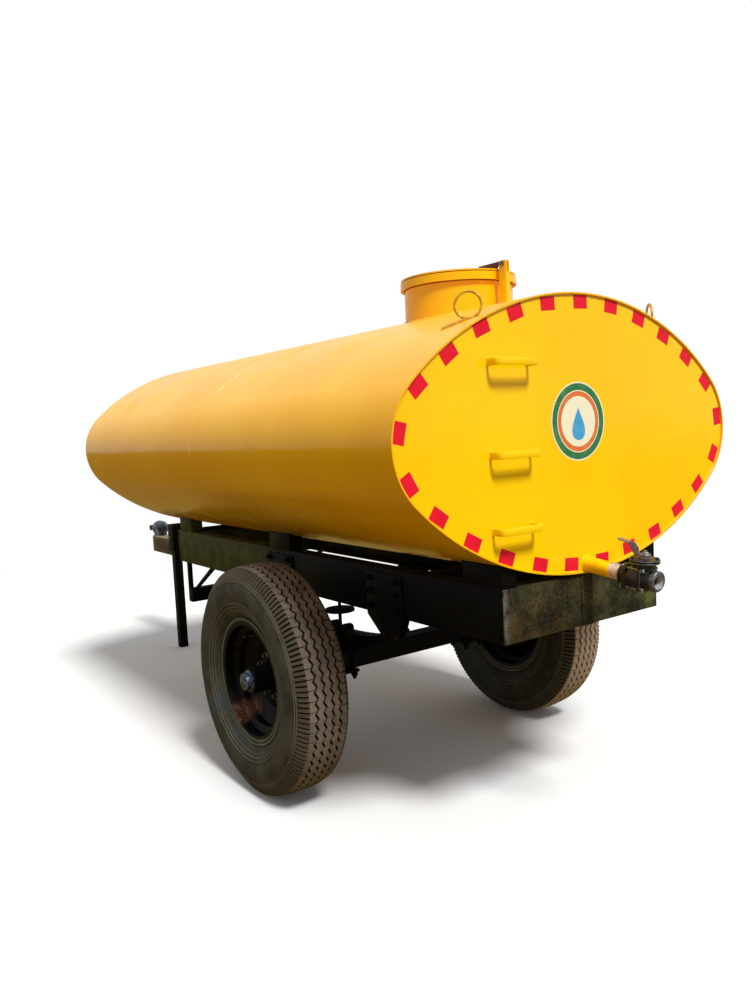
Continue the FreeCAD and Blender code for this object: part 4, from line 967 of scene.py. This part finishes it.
for side, sign in WHEELS:
    wheel, axes = "wheel_" + side, wheel_axes(side, sign)
    outward = (0, sign, 0)
    angles = [math.tau * (i + 0.5) / NUTS for i in range(NUTS)]
    spots = [(axes @ Vector((NUT_CIRCLE * math.cos(a), NUT_CIRCLE * math.sin(a), DISC_FACE)), outward)
             for a in angles]
    stand_parts("wheel_nuts_" + side, wheel, wheel_nut, spots, nut_steel_rubbed_and_glint, seed=3)
    lock = assembled("lock_ring_" + side, [lathe(LOCK_RING, 72)], rim_paint, axes, 30)
    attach(lock, wheel)
    cap = assembled("hub_cap_" + side, [lathe(HUB_CAP, 40)], cap_steel_blue_sheen, axes, 30)
    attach(cap, wheel)
    stem = axes @ Vector((STEM_CIRCLE * math.cos(STEM_ANGLE), STEM_CIRCLE * math.sin(STEM_ANGLE), 0))
    stand_parts("air_valve_" + side, wheel, air_stem, [(stem, outward)], nut_steel_rubbed_and_glint, seed=2,
                spin=0.0)
print("wheels dressed")

# %% [markdown]
# ## Weld beads
# Everything on this trailer is arc-welded by hand. A bead is a line of overlapping puddles, a few
# millimetres high, along each joint. The tree sweeps a small round section along the joint's path and
# roughens it with noise at the size of one puddle.


# %% The bead tree
BEAD_STEP = 0.006


def bead_tree():
    tree, given = new_tree("Weld bead", Base="Geometry", Radius="Float", Ripple="Float", Seed="Float",
                           Material="Material")
    path = node(tree, "GeometryNodeMeshToCurve", {"Mesh": given["Base"]})
    even = node(tree, "GeometryNodeResampleCurve", {"Curve": path, "Length": BEAD_STEP}, mode="LENGTH")
    section = node(tree, "GeometryNodeCurvePrimitiveCircle", {"Resolution": 6, "Radius": given["Radius"]})
    swept = node(tree, "GeometryNodeCurveToMesh", {
        "Curve": even, "Profile Curve": section, "Fill Caps": True})
    wobble = node(tree, "ShaderNodeTexNoise", {
        "W": given["Seed"], "Scale": 140.0, "Detail": 1.0}, noise_dimensions="4D").outputs["Color"]
    centred = node(tree, "ShaderNodeVectorMath", {0: wobble, 1: (0.5, 0.5, 0.5)}, operation="SUBTRACT")
    moved = node(tree, "ShaderNodeVectorMath", {0: centred, "Scale": given["Ripple"]}, operation="SCALE")
    rough = node(tree, "GeometryNodeSetPosition", {"Geometry": swept, "Offset": moved})
    return close_tree(tree, rough, given["Material"])


BEAD = bead_tree()
print("bead tree ready")


# %% Beads along paths
def path_mesh(name, paths):
    """A mesh of edges along these paths; a path that ends where it starts is closed."""
    places, edges = [], []
    for path in paths:
        first = len(places)
        closed = (Vector(path[0]) - Vector(path[-1])).length < 1e-6
        places += [tuple(point) for point in (path[:-1] if closed else path)]
        edges += [(i, i + 1) for i in range(first, len(places) - 1)]
        if closed:
            edges.append((len(places) - 1, first))
    mesh = bpy.data.meshes.new(name)
    mesh.from_pydata(places, edges, [])
    return mesh


def weld(name, paths, radius, finish, slot, body="trailer", seed=1.0):
    """One piece with a bead along each path."""
    bead = grow(name, BEAD, body, base=path_mesh(name + "_paths", paths), Radius=radius,
                Ripple=radius * 1.1, Seed=seed, Material=finish)
    return bead


print("a bead has a section every", BEAD_STEP * 1000, "mm")

# %% [markdown]
# ## The tank's outline
# The oval is made of side, shoulder and crown arcs that meet in line. The tape, the seam and several
# welds follow it, so it is worked out once here: the side's radius and the angles where the arcs meet are
# given, and the other two radii follow from the tank's width and height.

# %% Points on the oval
low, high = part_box("tank_barrel")
TANK_HALF_WIDTH = (high.y - low.y) / 2
TANK_HALF_HEIGHT = 0.524
TANK_MIDDLE = low.z + TANK_HALF_HEIGHT
SIDE_ARC = 0.280
ARC_STEPS = 24
SIDE_END, CROWN_START = math.radians(46.05), math.radians(60.9)


def oval_arcs():
    """(centre y, centre z, radius) of the side, shoulder and crown arcs."""
    a, b, s = TANK_HALF_WIDTH, TANK_HALF_HEIGHT, SIDE_ARC
    m11, m12 = math.cos(CROWN_START) - math.cos(SIDE_END), -math.cos(CROWN_START)
    m21, m22 = math.sin(CROWN_START) - math.sin(SIDE_END), 1 - math.sin(CROWN_START)
    r1, r2 = -(a - s) - s * math.cos(SIDE_END), b - s * math.sin(SIDE_END)
    det = m11 * m22 - m12 * m21
    shoulder, crown_r = (r1 * m22 - m12 * r2) / det, (m11 * r2 - r1 * m21) / det
    return ((a - s, 0, s), (a - s - (shoulder - s) * math.cos(SIDE_END),
                            -(shoulder - s) * math.sin(SIDE_END), shoulder), (0, b - crown_r, crown_r))


def oval_path(x, inset=0.0):
    """A closed path round the oval at x, starting at the top and running to the left side."""
    side, shoulder, top = oval_arcs()
    quarter = []
    for (cy, cz, r), start, end in ((top, math.pi / 2, CROWN_START), (shoulder, CROWN_START, SIDE_END),
                                    (side, SIDE_END, 0.0)):
        for i in range(ARC_STEPS):
            angle = start + (end - start) * i / ARC_STEPS
            quarter.append((cy + (r - inset) * math.cos(angle), cz + (r - inset) * math.sin(angle)))
    quarter.append((TANK_HALF_WIDTH - inset, 0.0))
    half = quarter + [(y, -z) for y, z in reversed(quarter[:-1])]
    loop = half + [(-y, z) for y, z in reversed(half[:-1])]
    return [Vector((x, y, TANK_MIDDLE + z)) for y, z in loop]


def tank_top(y):
    """Height of the tank's upper side at y."""
    _, shoulder, top = oval_arcs()
    cy, cz, r = top if abs(y) <= top[2] * math.cos(CROWN_START) else shoulder
    return TANK_MIDDLE + cz + math.sqrt(r * r - (abs(y) - cy) ** 2)


def tank_underside(y):
    return 2 * TANK_MIDDLE - tank_top(y)


print("tank middle", round(TANK_MIDDLE, 4), "half width", round(TANK_HALF_WIDTH, 4))

# %% [markdown]
# ## Reflective tape round the rear head
# A road trailer shows red squares of retro-reflective tape round its rear. They are cut by hand and stuck
# by eye, so their spacing is nearly even and each is a little askew. The tree lays them along a path just
# inside the head's edge, with a seeded jitter.


# %% Tape finish
def reflective_tape():
    """Retro-reflective vinyl: a clear skin over small prisms, which show as a honeycomb."""
    material, tree, shader = new_material("Retro-reflective vinyl, red")
    cells = node(tree, "ShaderNodeTexVoronoi", {"Vector": place(tree), "Scale": 250.0},
                 feature="DISTANCE_TO_EDGE")
    lines = ramp(tree, cells.outputs["Distance"], 0.03, 0.09)
    worn = coats(tree, "#f00f3a", (cloud(tree, 45, 0.4, 0.75), "#d8142c"))
    fill(tree, shader, {
        "Base Color": coats(tree, "#d8242a", (lines, worn)),
        "Roughness": 0.4, "IOR": 1.5, "Specular IOR Level": 0.15})
    return material


tape_vinyl = reflective_tape()
print(tape_vinyl.name)


# %% Tape tree and tape
def either_way(tree, reach, seed):
    """A random number between -reach and reach for each copy."""
    back = node(tree, "ShaderNodeMath", {0: reach, 1: -1.0}, operation="MULTIPLY")
    return node(tree, "FunctionNodeRandomValue", {
        "Min": back, "Max": reach, "Seed": seed}, data_type="FLOAT").outputs["Value"]


def tape_tree():
    tree, given = new_tree("Tape round an outline", Base="Geometry", Count="Int", Size="Vector",
                           Askew="Float", Shift="Float", Seed="Int", Material="Material")
    path = node(tree, "GeometryNodeMeshToCurve", {"Mesh": given["Base"]})
    spots = node(tree, "GeometryNodeCurveToPoints", {"Curve": path, "Count": given["Count"]},
                 mode="COUNT").outputs
    piece = node(tree, "GeometryNodeMeshCube", {"Size": given["Size"]})
    lie = node(tree, "FunctionNodeAlignRotationToVector", {"Vector": (-1.0, 0.0, 0.0)}, axis="Z")
    turned = node(tree, "FunctionNodeAlignRotationToVector", {
        "Rotation": lie, "Vector": spots["Tangent"]}, axis="X", pivot_axis="Z")
    skew = node(tree, "ShaderNodeCombineXYZ", {"Z": either_way(tree, given["Askew"], given["Seed"])})
    hand = node(tree, "FunctionNodeRotateRotation", {
        "Rotation": turned, "Rotate By": skew}, rotation_space="LOCAL")
    shift = node(tree, "ShaderNodeCombineXYZ", {
        "Y": either_way(tree, given["Shift"], 5), "Z": either_way(tree, given["Shift"], 6)})
    moved = node(tree, "GeometryNodeSetPosition", {"Geometry": spots["Points"], "Offset": shift})
    copies = node(tree, "GeometryNodeInstanceOnPoints", {
        "Points": moved, "Instance": piece, "Rotation": hand})
    return close_tree(tree, copies, given["Material"])


grow("reflective_tape", tape_tree(), "trailer",
     base=path_mesh("tape_path", [oval_path(HEAD_X - 0.0002, inset=0.035)]), Count=25,
     Size=(0.074, 0.050, 0.0004), Askew=0.07, Shift=0.004, Seed=4, Material=tape_vinyl)

# %% [markdown]
# ## The round sticker
# A printed vinyl sticker sits in the middle of the head. This one is generic: a green ring, an orange
# ring and a plain drop of water on a cream ground. Its colours are faces of one thin disc.


# %% Printed vinyl
def vinyl(name, colour):
    """Printed vinyl under a clear film, a little faded in patches."""
    material, tree, shader = new_material(name)
    faded = times(tree, cloud(tree, 40, 0.4, 0.8), 0.1)
    fill(tree, shader, {
        "Base Color": coats(tree, colour, (faded, "#e8e2c8")), "Roughness": 0.35, "IOR": 1.5})
    return material


STICKER_Y, STICKER_Z, STICKER_RADIUS = 0.027, 1.580, 0.147
FILM = 0.0004
DROP_HALF_WIDTH, DROP_HALF_HEIGHT, DROP_DOWN = 0.052, 0.062, 0.008
vinyls = [vinyl("Vinyl print, " + label, code) for label, code in (
    ("green", "#12703c"), ("cream", "#f4efcf"), ("orange", "#e0702c"), ("blue", "#3d9fd6"))]
print(len(vinyls), "vinyls")

# %% Sticker
# columns: outer radius as a share of the sticker's, which vinyl
RINGS = ((1.0, 1), (0.965, 0), (0.79, 1), (0.765, 2), (0.64, 1))


def sticker_mesh():
    work = bmesh.new()
    steps = 72

    def ring(share, lift):
        return [work.verts.new((HEAD_X - lift, STICKER_Y + y, STICKER_Z + z))
                for y, z in circle(share * STICKER_RADIUS, steps)]

    top = ring(RINGS[0][0], FILM)
    skin(work, (ring(RINGS[0][0], 0.0), top))
    for (_, number), (share, _) in zip(RINGS, RINGS[1:]):
        inner = ring(share, FILM)
        for i in range(steps):
            face = work.faces.new((top[i], top[(i + 1) % steps], inner[(i + 1) % steps], inner[i]))
            face.material_index = number
        top = inner
    work.faces.new(top).material_index = RINGS[-1][1]
    drop = []
    for i in range(48):
        turn = math.tau * i / 48
        # a teardrop: a circle that narrows to a point at its top
        narrow = math.sin(turn / 2) ** 1.6
        drop.append(work.verts.new((
            HEAD_X - 1.5 * FILM, STICKER_Y + DROP_HALF_WIDTH * math.sin(turn) * narrow,
            STICKER_Z - DROP_DOWN + DROP_HALF_HEIGHT * math.cos(turn))))
    work.faces.new(drop).material_index = 3
    return to_mesh(work, "round_sticker", False)


sticker = new_piece("round_sticker", sticker_mesh(), *vinyls)
for face in sticker.data.polygons:
    if face.normal.x > 0.5:
        face.flip()
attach(sticker, "trailer")
print("sticker of", len(sticker.data.polygons), "faces")

# %% [markdown]
# ## Outlet valve
# The outlet is a three-piece ball valve: a round middle held between two square end caps by four tie
# bolts, with a flanged bonnet on top that carries the stem and its cranked lever. It is built about its
# own axis, with x up and z outwards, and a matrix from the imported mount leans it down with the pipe.

# %% The valve's own axes
outlet = next(mount for mount in frame["record"]["mounts"] if mount["name"] == "outlet")
OUTLET_AXIS = Vector(outlet["axis"]).normalized()
OUTLET_END = Vector(outlet["pos_m"])
OUTLET_ROOT = OUTLET_END + OUTLET_AXIS * ((HEAD_X - OUTLET_END.x) / OUTLET_AXIS.x)
OUTLET_LENGTH = (OUTLET_END - OUTLET_ROOT).length
UPWARDS = Vector((OUTLET_AXIS.z, 0, -OUTLET_AXIS.x))
VALVE_AXES = Matrix((UPWARDS, (0, 1, 0), OUTLET_AXIS)).transposed().to_4x4()
VALVE_AXES.translation = OUTLET_ROOT
# distances along the valve, in metres from the head
STEM_AT = 0.234
BONNET_AT = 0.256
ACROSS = VALVE_AXES @ Matrix.Translation((0, 0, BONNET_AT)) @ Matrix.Rotation(math.pi / 2, 4, "Y")
print("outlet", round(OUTLET_LENGTH, 3), "m long from", [round(v, 4) for v in OUTLET_ROOT])


# %% Turned and cast parts
QUARTERS = ((1, 1), (-1, 1), (-1, -1), (1, -1))


def capped(work, rings):
    """A skin over the rings, with a face on the first and the last."""
    skin(work, rings)
    work.faces.new(rings[0])
    work.faces.new(rings[-1])
    return work


def square_cap(half, corner, start, end, chamfer):
    """A square plate with round corners, on Z, with its two outer edges chamfered."""
    work = bmesh.new()
    rings = []
    for inset, z in ((chamfer, start), (0, start + chamfer), (0, end - chamfer), (chamfer, end)):
        ring = []
        for quarter, (x, y) in enumerate(QUARTERS):
            for angle in ((quarter + i / 6) * math.pi / 2 for i in range(7)):
                ring.append(work.verts.new((
                    x * (half - corner) + (corner - inset) * math.cos(angle),
                    y * (half - corner) + (corner - inset) * math.sin(angle), z)))
        rings.append(ring)
    return capped(work, rings)


def fitting(name, works, finish, axes=VALVE_AXES, stands=None):
    """A piece of the valve. It stands for a CAD node, or adds to the trailer."""
    piece = assembled(name, works, finish, axes)
    return stand_for(piece, stands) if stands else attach(piece, "trailer")


print("tools for the valve")

# %% The valve's body
CAP_HALF, CAP_CORNER = 0.0465, 0.018
TIE_AT = 0.0355
SCREW_AT = 0.042 * math.sqrt(0.5)
socket_ring = lathe([(0.0303, 0.169), (0.0395, 0.169), (0.042, 0.1715), (0.042, 0.180),
                     (0.0405, 0.1815), (0.042, 0.183), (0.042, 0.1935), (0.0303, 0.1935)], 40)
middle_body = lathe([(0, 0.206), (0.044, 0.206), (0.048, 0.212), (0.051, 0.222), (0.052, STEM_AT),
                     (0.051, 0.246), (0.048, 0.256), (0.044, 0.262), (0, 0.262)], 40)
caps = [square_cap(CAP_HALF, CAP_CORNER, *span, 0.002) for span in ((0.194, 0.209), (0.259, 0.274))]
ties = []
for at in [(x, y) for x in (-TIE_AT, TIE_AT) for y in (-TIE_AT, TIE_AT)]:
    ties.append(bar(0.190, 0.281, 0.0052, steps=12, at=at))
    ties += [bar(start, start + 0.008, 0.0092, 0.0078, 0.0012, 6, at) for start in (0.186, 0.2742)]
fitting("valve_body", [socket_ring, middle_body] + caps, iron, stands="ball_valve")
fitting("valve_tie_bolts", ties, worn_steel)
print("body with", len(ties), "pieces of tie bolt")

# %% The valve's bonnet and edges
bonnet = lathe([(0, 0.040), (0.034, 0.040), (0.034, 0.058), (0.0515, 0.058), (0.053, 0.0595),
                (0.053, 0.0625), (0.0515, 0.064), (0.044, 0.064), (0.044, 0.0665), (0.0515, 0.0665),
                (0.053, 0.068), (0.053, 0.071), (0.0515, 0.0725), (0, 0.0725)], 48)
screws = [bar(0.0725, 0.0785, 0.0068, 0.0058, 0.001, 6, at=(x * SCREW_AT, y * SCREW_AT))
          for x, y in QUARTERS]
fitting("valve_bonnet", [bonnet] + screws, iron, ACROSS)
# thin rings of bare steel on the edges of the bonnet's flanges and the end caps: paint rubbed off, and
# painted glints along the edges
fitting("bonnet_edges", [lathe([
    (0.052, z), (0.0535, z), (0.0537, z + 0.0006), (0.0535, z + 0.0012), (0.052, z + 0.0012)], 48)
    for z in (0.0604, 0.0692)], worn_steel, ACROSS)
fitting("cap_edges", [square_cap(CAP_HALF + 0.0004, CAP_CORNER + 0.0004, z, z + 0.0012, 0.0003)
                      for z in (0.1955, 0.2712)], worn_steel)
fitting("valve_gland", [
    bar(0.0728, 0.080, 0.0195, 0.018, 0.0015), bar(0.0848, 0.090, 0.0205, 0.019, 0.0015),
    bar(0.090, 0.0955, 0.0125, 0.0115, 0.001, 6), bar(0.0955, 0.1015, 0.0065, 0.0055, 0.001, 16)],
    worn_steel, ACROSS)
print("bonnet with", len(screws), "screws")

# %% The hose adapter
neck_part = lathe([(0.0263, 0.274), (0.041, 0.274), (0.042, 0.276), (0.041, 0.278), (0.038, 0.2785),
                   (0.038, 0.281), (0.0395, 0.2825), (0.0395, 0.2845), (0.0345, 0.287),
                   (0.034, 0.3005), (0.0263, 0.3005)], 40)
end_ring = lathe([(0.0263, 0.3), (0.0355, 0.3), (0.038, 0.3025), (0.038, 0.3165), (0.0355, 0.3195),
                  (0.0285, 0.3195), (0.0268, 0.3175)], 40)
ball = lathe([(0, 0.2725), (0.0255, 0.2725), (0.0255, 0.2745), (0.021, 0.2785), (0.012, 0.2815),
              (0, 0.2825)])
liner = lathe([(0.0255, 0.292), (0.0266, 0.292), (0.0266, 0.3185), (0.0262, 0.319), (0.0255, 0.318)],
              40)
fitting("adapter_neck", [neck_part], iron, stands="hose_adapter")
fitting("adapter_end", [end_ring], ring_steel)
fitting("valve_ball", [ball], worn_steel)
fitting("adapter_bore", [liner], bare_steel)
print("adapter with an open bore")


# %% The cranked lever
def strap(line, thick, width):
    """A flat bar of this width whose middle line is (along, up) points, with its ends squared."""
    work = bmesh.new()
    rows = []
    for i, (z, x) in enumerate(line):
        before, after = Vector(line[max(i - 1, 0)]), Vector(line[min(i + 1, len(line) - 1)])
        way = (after - before).normalized()
        off = Vector((-way.y, way.x)) * thick / 2
        narrow = 0.6 if i == len(line) - 1 else 1.0
        rows.append([work.verts.new((x + s * off.y, narrow * side * width / 2, z + s * off.x))
                     for s, side in ((1, 1), (1, -1), (-1, -1), (-1, 1))])
    return capped(work, rows)


def fin_plate(corners, y0, y1):
    """An upright plate from (along, up) corners."""
    work = bmesh.new()
    return capped(work, [[work.verts.new((x, y, z)) for z, x in corners] for y in (y0, y1)])


# (along, up) from the pipe's root and axis, in metres
LEVER_LINE = ((BONNET_AT + 0.018, 0.0825), (BONNET_AT - 0.022, 0.0825), (0.215, 0.087), (0.197, 0.110),
              (0.188, 0.1185), (0.150, 0.124), (0.137, 0.1255))
LEVER_FIN = ((0.222, 0.083), (0.200, 0.108), (0.193, 0.121), (0.196, 0.1245), (0.220, 0.1245),
             (0.236, 0.108), (0.238, 0.083))
lever = fitting("lever_strap", [strap(LEVER_LINE, 0.005, 0.024)], lever_steel, stands="valve_lever")
round_edges(lever, 1.2, 30)
fitting("lever_fin", [fin_plate(LEVER_FIN, 0.009, 0.0125)], fin_steel)
print("lever", len(LEVER_LINE), "points long")

# %% [markdown]
# ## Welds on the tank
# The neck, the hinge post, the steps and the outlet pipe are welded to the shell. The shell itself is two
# sheets long, so one seam runs round its middle.

# %% Tank welds
NECK_X, _, _ = middle("manhole_neck")
NECK_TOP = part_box("manhole_neck")[1].z
NECK_RADIUS = 0.234
COLLAR_DROP = 0.0325
SEAM_X = -0.551
PIPE_RADIUS = 0.0315
STEP_PLATE, STEP_HALF = 0.008, 0.013


def loop(points):
    """A closed path through these points."""
    path = [Vector(point) for point in points]
    return path + path[:1]


def rectangle(a0, a1, b0, b1):
    return (a0, b0), (a1, b0), (a1, b1), (a0, b1)


weld("weld_neck", [loop((NECK_X + x, y, tank_top(y)) for x, y in circle(NECK_RADIUS, 96))], 0.0065,
     tank_paint, "tank_paint")
# the bead under the collar band is in red oxide: primer showing, and a painted dark line of shade under
# the band
weld("weld_collar", [loop((NECK_X + x, y, NECK_TOP - COLLAR_DROP)
                          for x, y in circle(NECK_RADIUS + 0.0005, 64))], 0.003, oxide,
     "red_oxide_paint")
weld("weld_seam", [oval_path(SEAM_X, inset=0.0012)], 0.0021, tank_paint, "tank_paint")
low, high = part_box("rear_steps")
step_welds = []
for z in (TANK_MIDDLE + middle for middle in (0.265, -0.053, -0.317)):
    for y in (low.y, high.y - STEP_PLATE):
        plate = rectangle(y, y + STEP_PLATE, z - STEP_HALF, z + STEP_HALF)
        step_welds.append(loop((HEAD_X, *corner) for corner in plate))
weld("weld_steps", step_welds, 0.0025, head_paint_sunlit, "tank_paint")
weld("weld_outlet", [loop((HEAD_X - 0.001, OUTLET_ROOT.y + y, OUTLET_ROOT.z + z)
                          for y, z in circle(PIPE_RADIUS, 40))], 0.0035, head_paint_sunlit, "tank_paint")
low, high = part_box("lid_hinge_post")
foot = rectangle(low.x, high.x, low.y, high.y)
weld("weld_post", [loop((x, y, tank_top(y) + 0.006) for x, y in foot)], 0.0035, tank_paint, "tank_paint")

# %% [markdown]
# ## Welds and bolts on the chassis
# The posts are welded between rail and tank, the cross-members between the rails, and the hangers under
# them. The hangers are bolted through the rail's web as well.

# %% Chassis welds
rail_low, rail_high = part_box("frame_rail_left")
RAIL_Y, RAIL_TOP, RAIL_BOTTOM = rail_high.y, rail_high.z, rail_low.z


def along_x(low, high, y, z, short=0.0):
    """A straight path along X between two corners, less a little at each end."""
    return [Vector((low.x + short, y, z)), Vector((high.x - short, y, z))]


def upright_at(x, y, z0, z1):
    return [Vector((x, y, z0)), Vector((x, y, z1))]


rear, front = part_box("cross_member_rear")[0].x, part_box("cross_member_front")[1].x
low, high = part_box("outlet_support")
weld("weld_support", [upright_at(rear, y, low.z, RAIL_TOP) for y in (low.y, high.y)], 0.0022, rear_paint,
     "chassis_paint", seed=3.0)
paths = []
for place_name in ("rear", "middle", "front"):
    low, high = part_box(f"saddle_{place_name}_left")
    paths += [along_x(low, high, sign * RAIL_Y, z) for sign in (1, -1)
              for z in (RAIL_TOP, tank_underside(RAIL_Y) - 0.001)]
paths += [upright_at(x, sign * RAIL_Y, RAIL_BOTTOM + 0.004, RAIL_TOP - 0.004)
          for x in (rear + 0.008, front - 0.008) for sign in (1, -1)]
weld("weld_chassis", paths, 0.0032, chassis_paint, "chassis_paint", seed=2.0)

# %% Welds at the front end
STRAP = 0.026
ROD = 0.006
low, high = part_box("drop_frame")
foot = rectangle(high.x - STRAP, high.x, high.y - STRAP, high.y)
feet = [loop((x, sign * y, RAIL_BOTTOM) for x, y in foot) for sign in (1, -1)]
bar_low, bar_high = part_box("drawbar")
for name in ("cross_member_front", "cross_member_inner_front"):
    feet += [along_x(*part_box(name), y, RAIL_BOTTOM, 0.004) for y in (bar_low.y, bar_high.y)]
weld("weld_front", feet, 0.003, gear_paint, "chassis_paint", seed=4.0)
low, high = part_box("leg_bracket")
bars = [upright_at(x, bar_high.y, low.z, bar_high.z) for x in (low.x, high.x)]
low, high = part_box("hitch_bracket")
bars += [[Vector((x, low.y + 0.006, bar_high.z)), Vector((x, high.y - 0.006, bar_high.z))]
         for x in (low.x, high.x)]
weld("weld_drawbar", bars, 0.0032, bar_paint, "drawbar_paint", seed=5.0)
low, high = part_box("lid_handle")
handle_x, _, _ = middle("lid_handle")
weld("weld_handle", [loop((handle_x + x, end + y, low.z + 0.0005) for x, y in circle(ROD + 0.001, 16))
                     for end in (low.y + ROD, high.y - ROD)], 0.002, tank_paint, "tank_paint",
     body="lid", seed=6.0)

# %% Bolts of the running gear
AXLE = (CENTRES["left"] + CENTRES["right"]) / 2
BOLT_OUT = 0.095
BOLT_HEIGHTS = (RAIL_BOTTOM + 0.035, RAIL_BOTTOM + 0.100, RAIL_TOP - 0.045)
PIN_UP = 0.032
U_BOLT_OUT, U_BOLT_SIDE, U_BOLT_END = 0.054, 0.048, 0.012
spots, large = [], []
for name in [n for n in nodes if n.startswith("spring_hanger")]:
    low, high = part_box(name)
    sign = 1 if high.y > 0 else -1
    outer, inner = (high.y, low.y) if sign > 0 else (low.y, high.y)
    x, _, _ = middle(name)
    spots += [((x + dx, outer, z), (0, sign, 0)) for dx in (-BOLT_OUT, BOLT_OUT) for z in BOLT_HEIGHTS]
    large += [((x, y, low.z + PIN_UP), (0, way, 0)) for y, way in ((outer, sign), (inner, -sign))]
for side in ("left", "right"):
    foot_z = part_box("spring_clamp_" + side)[0].z + U_BOLT_END
    _, y, _ = middle("leaf_spring_" + side)
    large += [((AXLE.x + dx, y + dy, foot_z), (0, 0, -1)) for dx in (-U_BOLT_OUT, U_BOLT_OUT)
              for dy in (-U_BOLT_SIDE, U_BOLT_SIDE)]
stand_parts("bolts_hanger", "trailer", mid_nut, spots, gear_paint, seed=7)
stand_parts("nuts_spring", "trailer", big_nut, large, gear_paint, seed=8)

# %% Nut of the tow eye and clip of the leg pin
CLIP_RADIUS, CLIP_WIRE = 0.013, 0.0017
_, y, z = middle("tow_eye")
shank = [((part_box("tow_eye")[0].x, y, z), (-1, 0, 0))]
stand_parts("shank_nut", "trailer", shank_nut, shank, iron, seed=9, spin=0.3)
x, _, z = middle("leg_pin")
face = (x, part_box("leg_pin")[1].y, z - 0.004)
turn_out = Matrix.Translation(face) @ Matrix.Rotation(-math.pi / 2, 4, "X")
clip = lathe([(CLIP_RADIUS + r, 0.0012 + z) for r, z in circle(CLIP_WIRE, 8)], 32)
ring = assembled("leg_pin_ring", [clip], zinc, turn_out)
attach(ring, BODY_OF["leg_pin"])

# %% [markdown]
# ## Stage, light and camera
# A pale floor and a white surround, one soft lamp high behind the trailer and an even fill, at a level
# where a colour renders about as it is written.


# %% Floor and surround
FADE_FROM, FADE_TO = 3.2, 7.0
FLOOR_HALF = 60
FILL_LEVEL = 0.42


def seen_directly(tree, glossy=0.0):
    """1 for what the camera sees, straight or through glass, and 0 for light that falls on things."""
    path = node(tree, "ShaderNodeLightPath").outputs
    shiny = times(tree, path["Is Glossy Ray"], glossy)
    return plus(tree, path["Is Camera Ray"], path["Is Transmission Ray"], shiny)


def paper_floor():
    """Matt floor that keeps the shadow near the trailer and fades into the white surround."""
    material, tree, shader = new_material("Floor, matt pale paper")
    away = node(tree, "ShaderNodeVectorMath", {0: place(tree)}, operation="LENGTH").outputs["Value"]
    seen = seen_directly(tree)
    far = times(tree, ramp(tree, away, FADE_FROM, FADE_TO, curve="SMOOTHSTEP"), seen)
    fill(tree, shader, {"Base Color": coats(tree, "#7c6721", (seen, "#f2f2f0")), "Roughness": 0.9})
    white = node(tree, "ShaderNodeEmission", {"Color": "#ffffff", "Strength": 1.0})
    mix = node(tree, "ShaderNodeMixShader", {0: far, 1: shader, 2: white})
    fill(tree, tree.nodes["Material Output"], {"Surface": mix})
    return material


floor_mesh = bpy.data.meshes.new("floor")
floor_mesh.from_pydata([(x * FLOOR_HALF, y * FLOOR_HALF, 0) for x, y in QUARTERS], [], [(0, 1, 2, 3)])
floor = new_piece("floor", floor_mesh, paper_floor())

world = bpy.data.worlds.new("Studio")
bpy.context.scene.world = world
world.use_nodes = True
tree = world.node_tree
strength = ramp(tree, seen_directly(tree, glossy=0.6), first=FILL_LEVEL, last=1.0)
fill(tree, tree.nodes["Background"], {"Color": "#ffffff", "Strength": strength})
print("floor and surround")

# %% Lamps
sun = bpy.data.lights.new("Key", "SUN")
sun.energy = 3.5
sun.angle = math.radians(14)
key = bpy.data.objects.new("Key", sun)
key.rotation_euler = Vector((-0.60, 0.05, 0.80)).to_track_quat("Z", "Y").to_euler()
bpy.context.scene.collection.objects.link(key)
print("one lamp of strength", sun.energy)

# %% [markdown]
# ## Camera
# The camera stands at eye height behind the left wheel. Its three angles give the way it looks: a turn
# about the vertical, a tilt down and a slight roll.

# %% Camera
EYE = Vector((-4.2060, 2.4443, 1.5943))
TURN, TILT, ROLL = (math.radians(v) for v in (-35.38, -5.03, -2.81))
ahead = Vector((math.cos(TILT) * math.cos(TURN), math.cos(TILT) * math.sin(TURN), math.sin(TILT)))
level = ahead.cross(Vector((0, 0, 1))).normalized()
upright = level.cross(ahead)
right = level * math.cos(ROLL) + upright * math.sin(ROLL)
up = upright * math.cos(ROLL) - level * math.sin(ROLL)
camera_data = bpy.data.cameras.new("Camera")
camera_data.lens = 29.67
camera_data.sensor_width = 36
camera = bpy.data.objects.new("Camera", camera_data)
camera.matrix_world = Matrix((right, up, -ahead)).transposed().to_4x4()
camera.location = EYE
bpy.context.scene.collection.objects.link(camera)
bpy.context.scene.camera = camera
bpy.context.scene.view_settings.view_transform = "Standard"
print("camera", [round(v, 3) for v in camera.location])

# %% Finish
for part in [o for o in bpy.data.objects if o.name.startswith("part_")]:
    bpy.data.objects.remove(part)
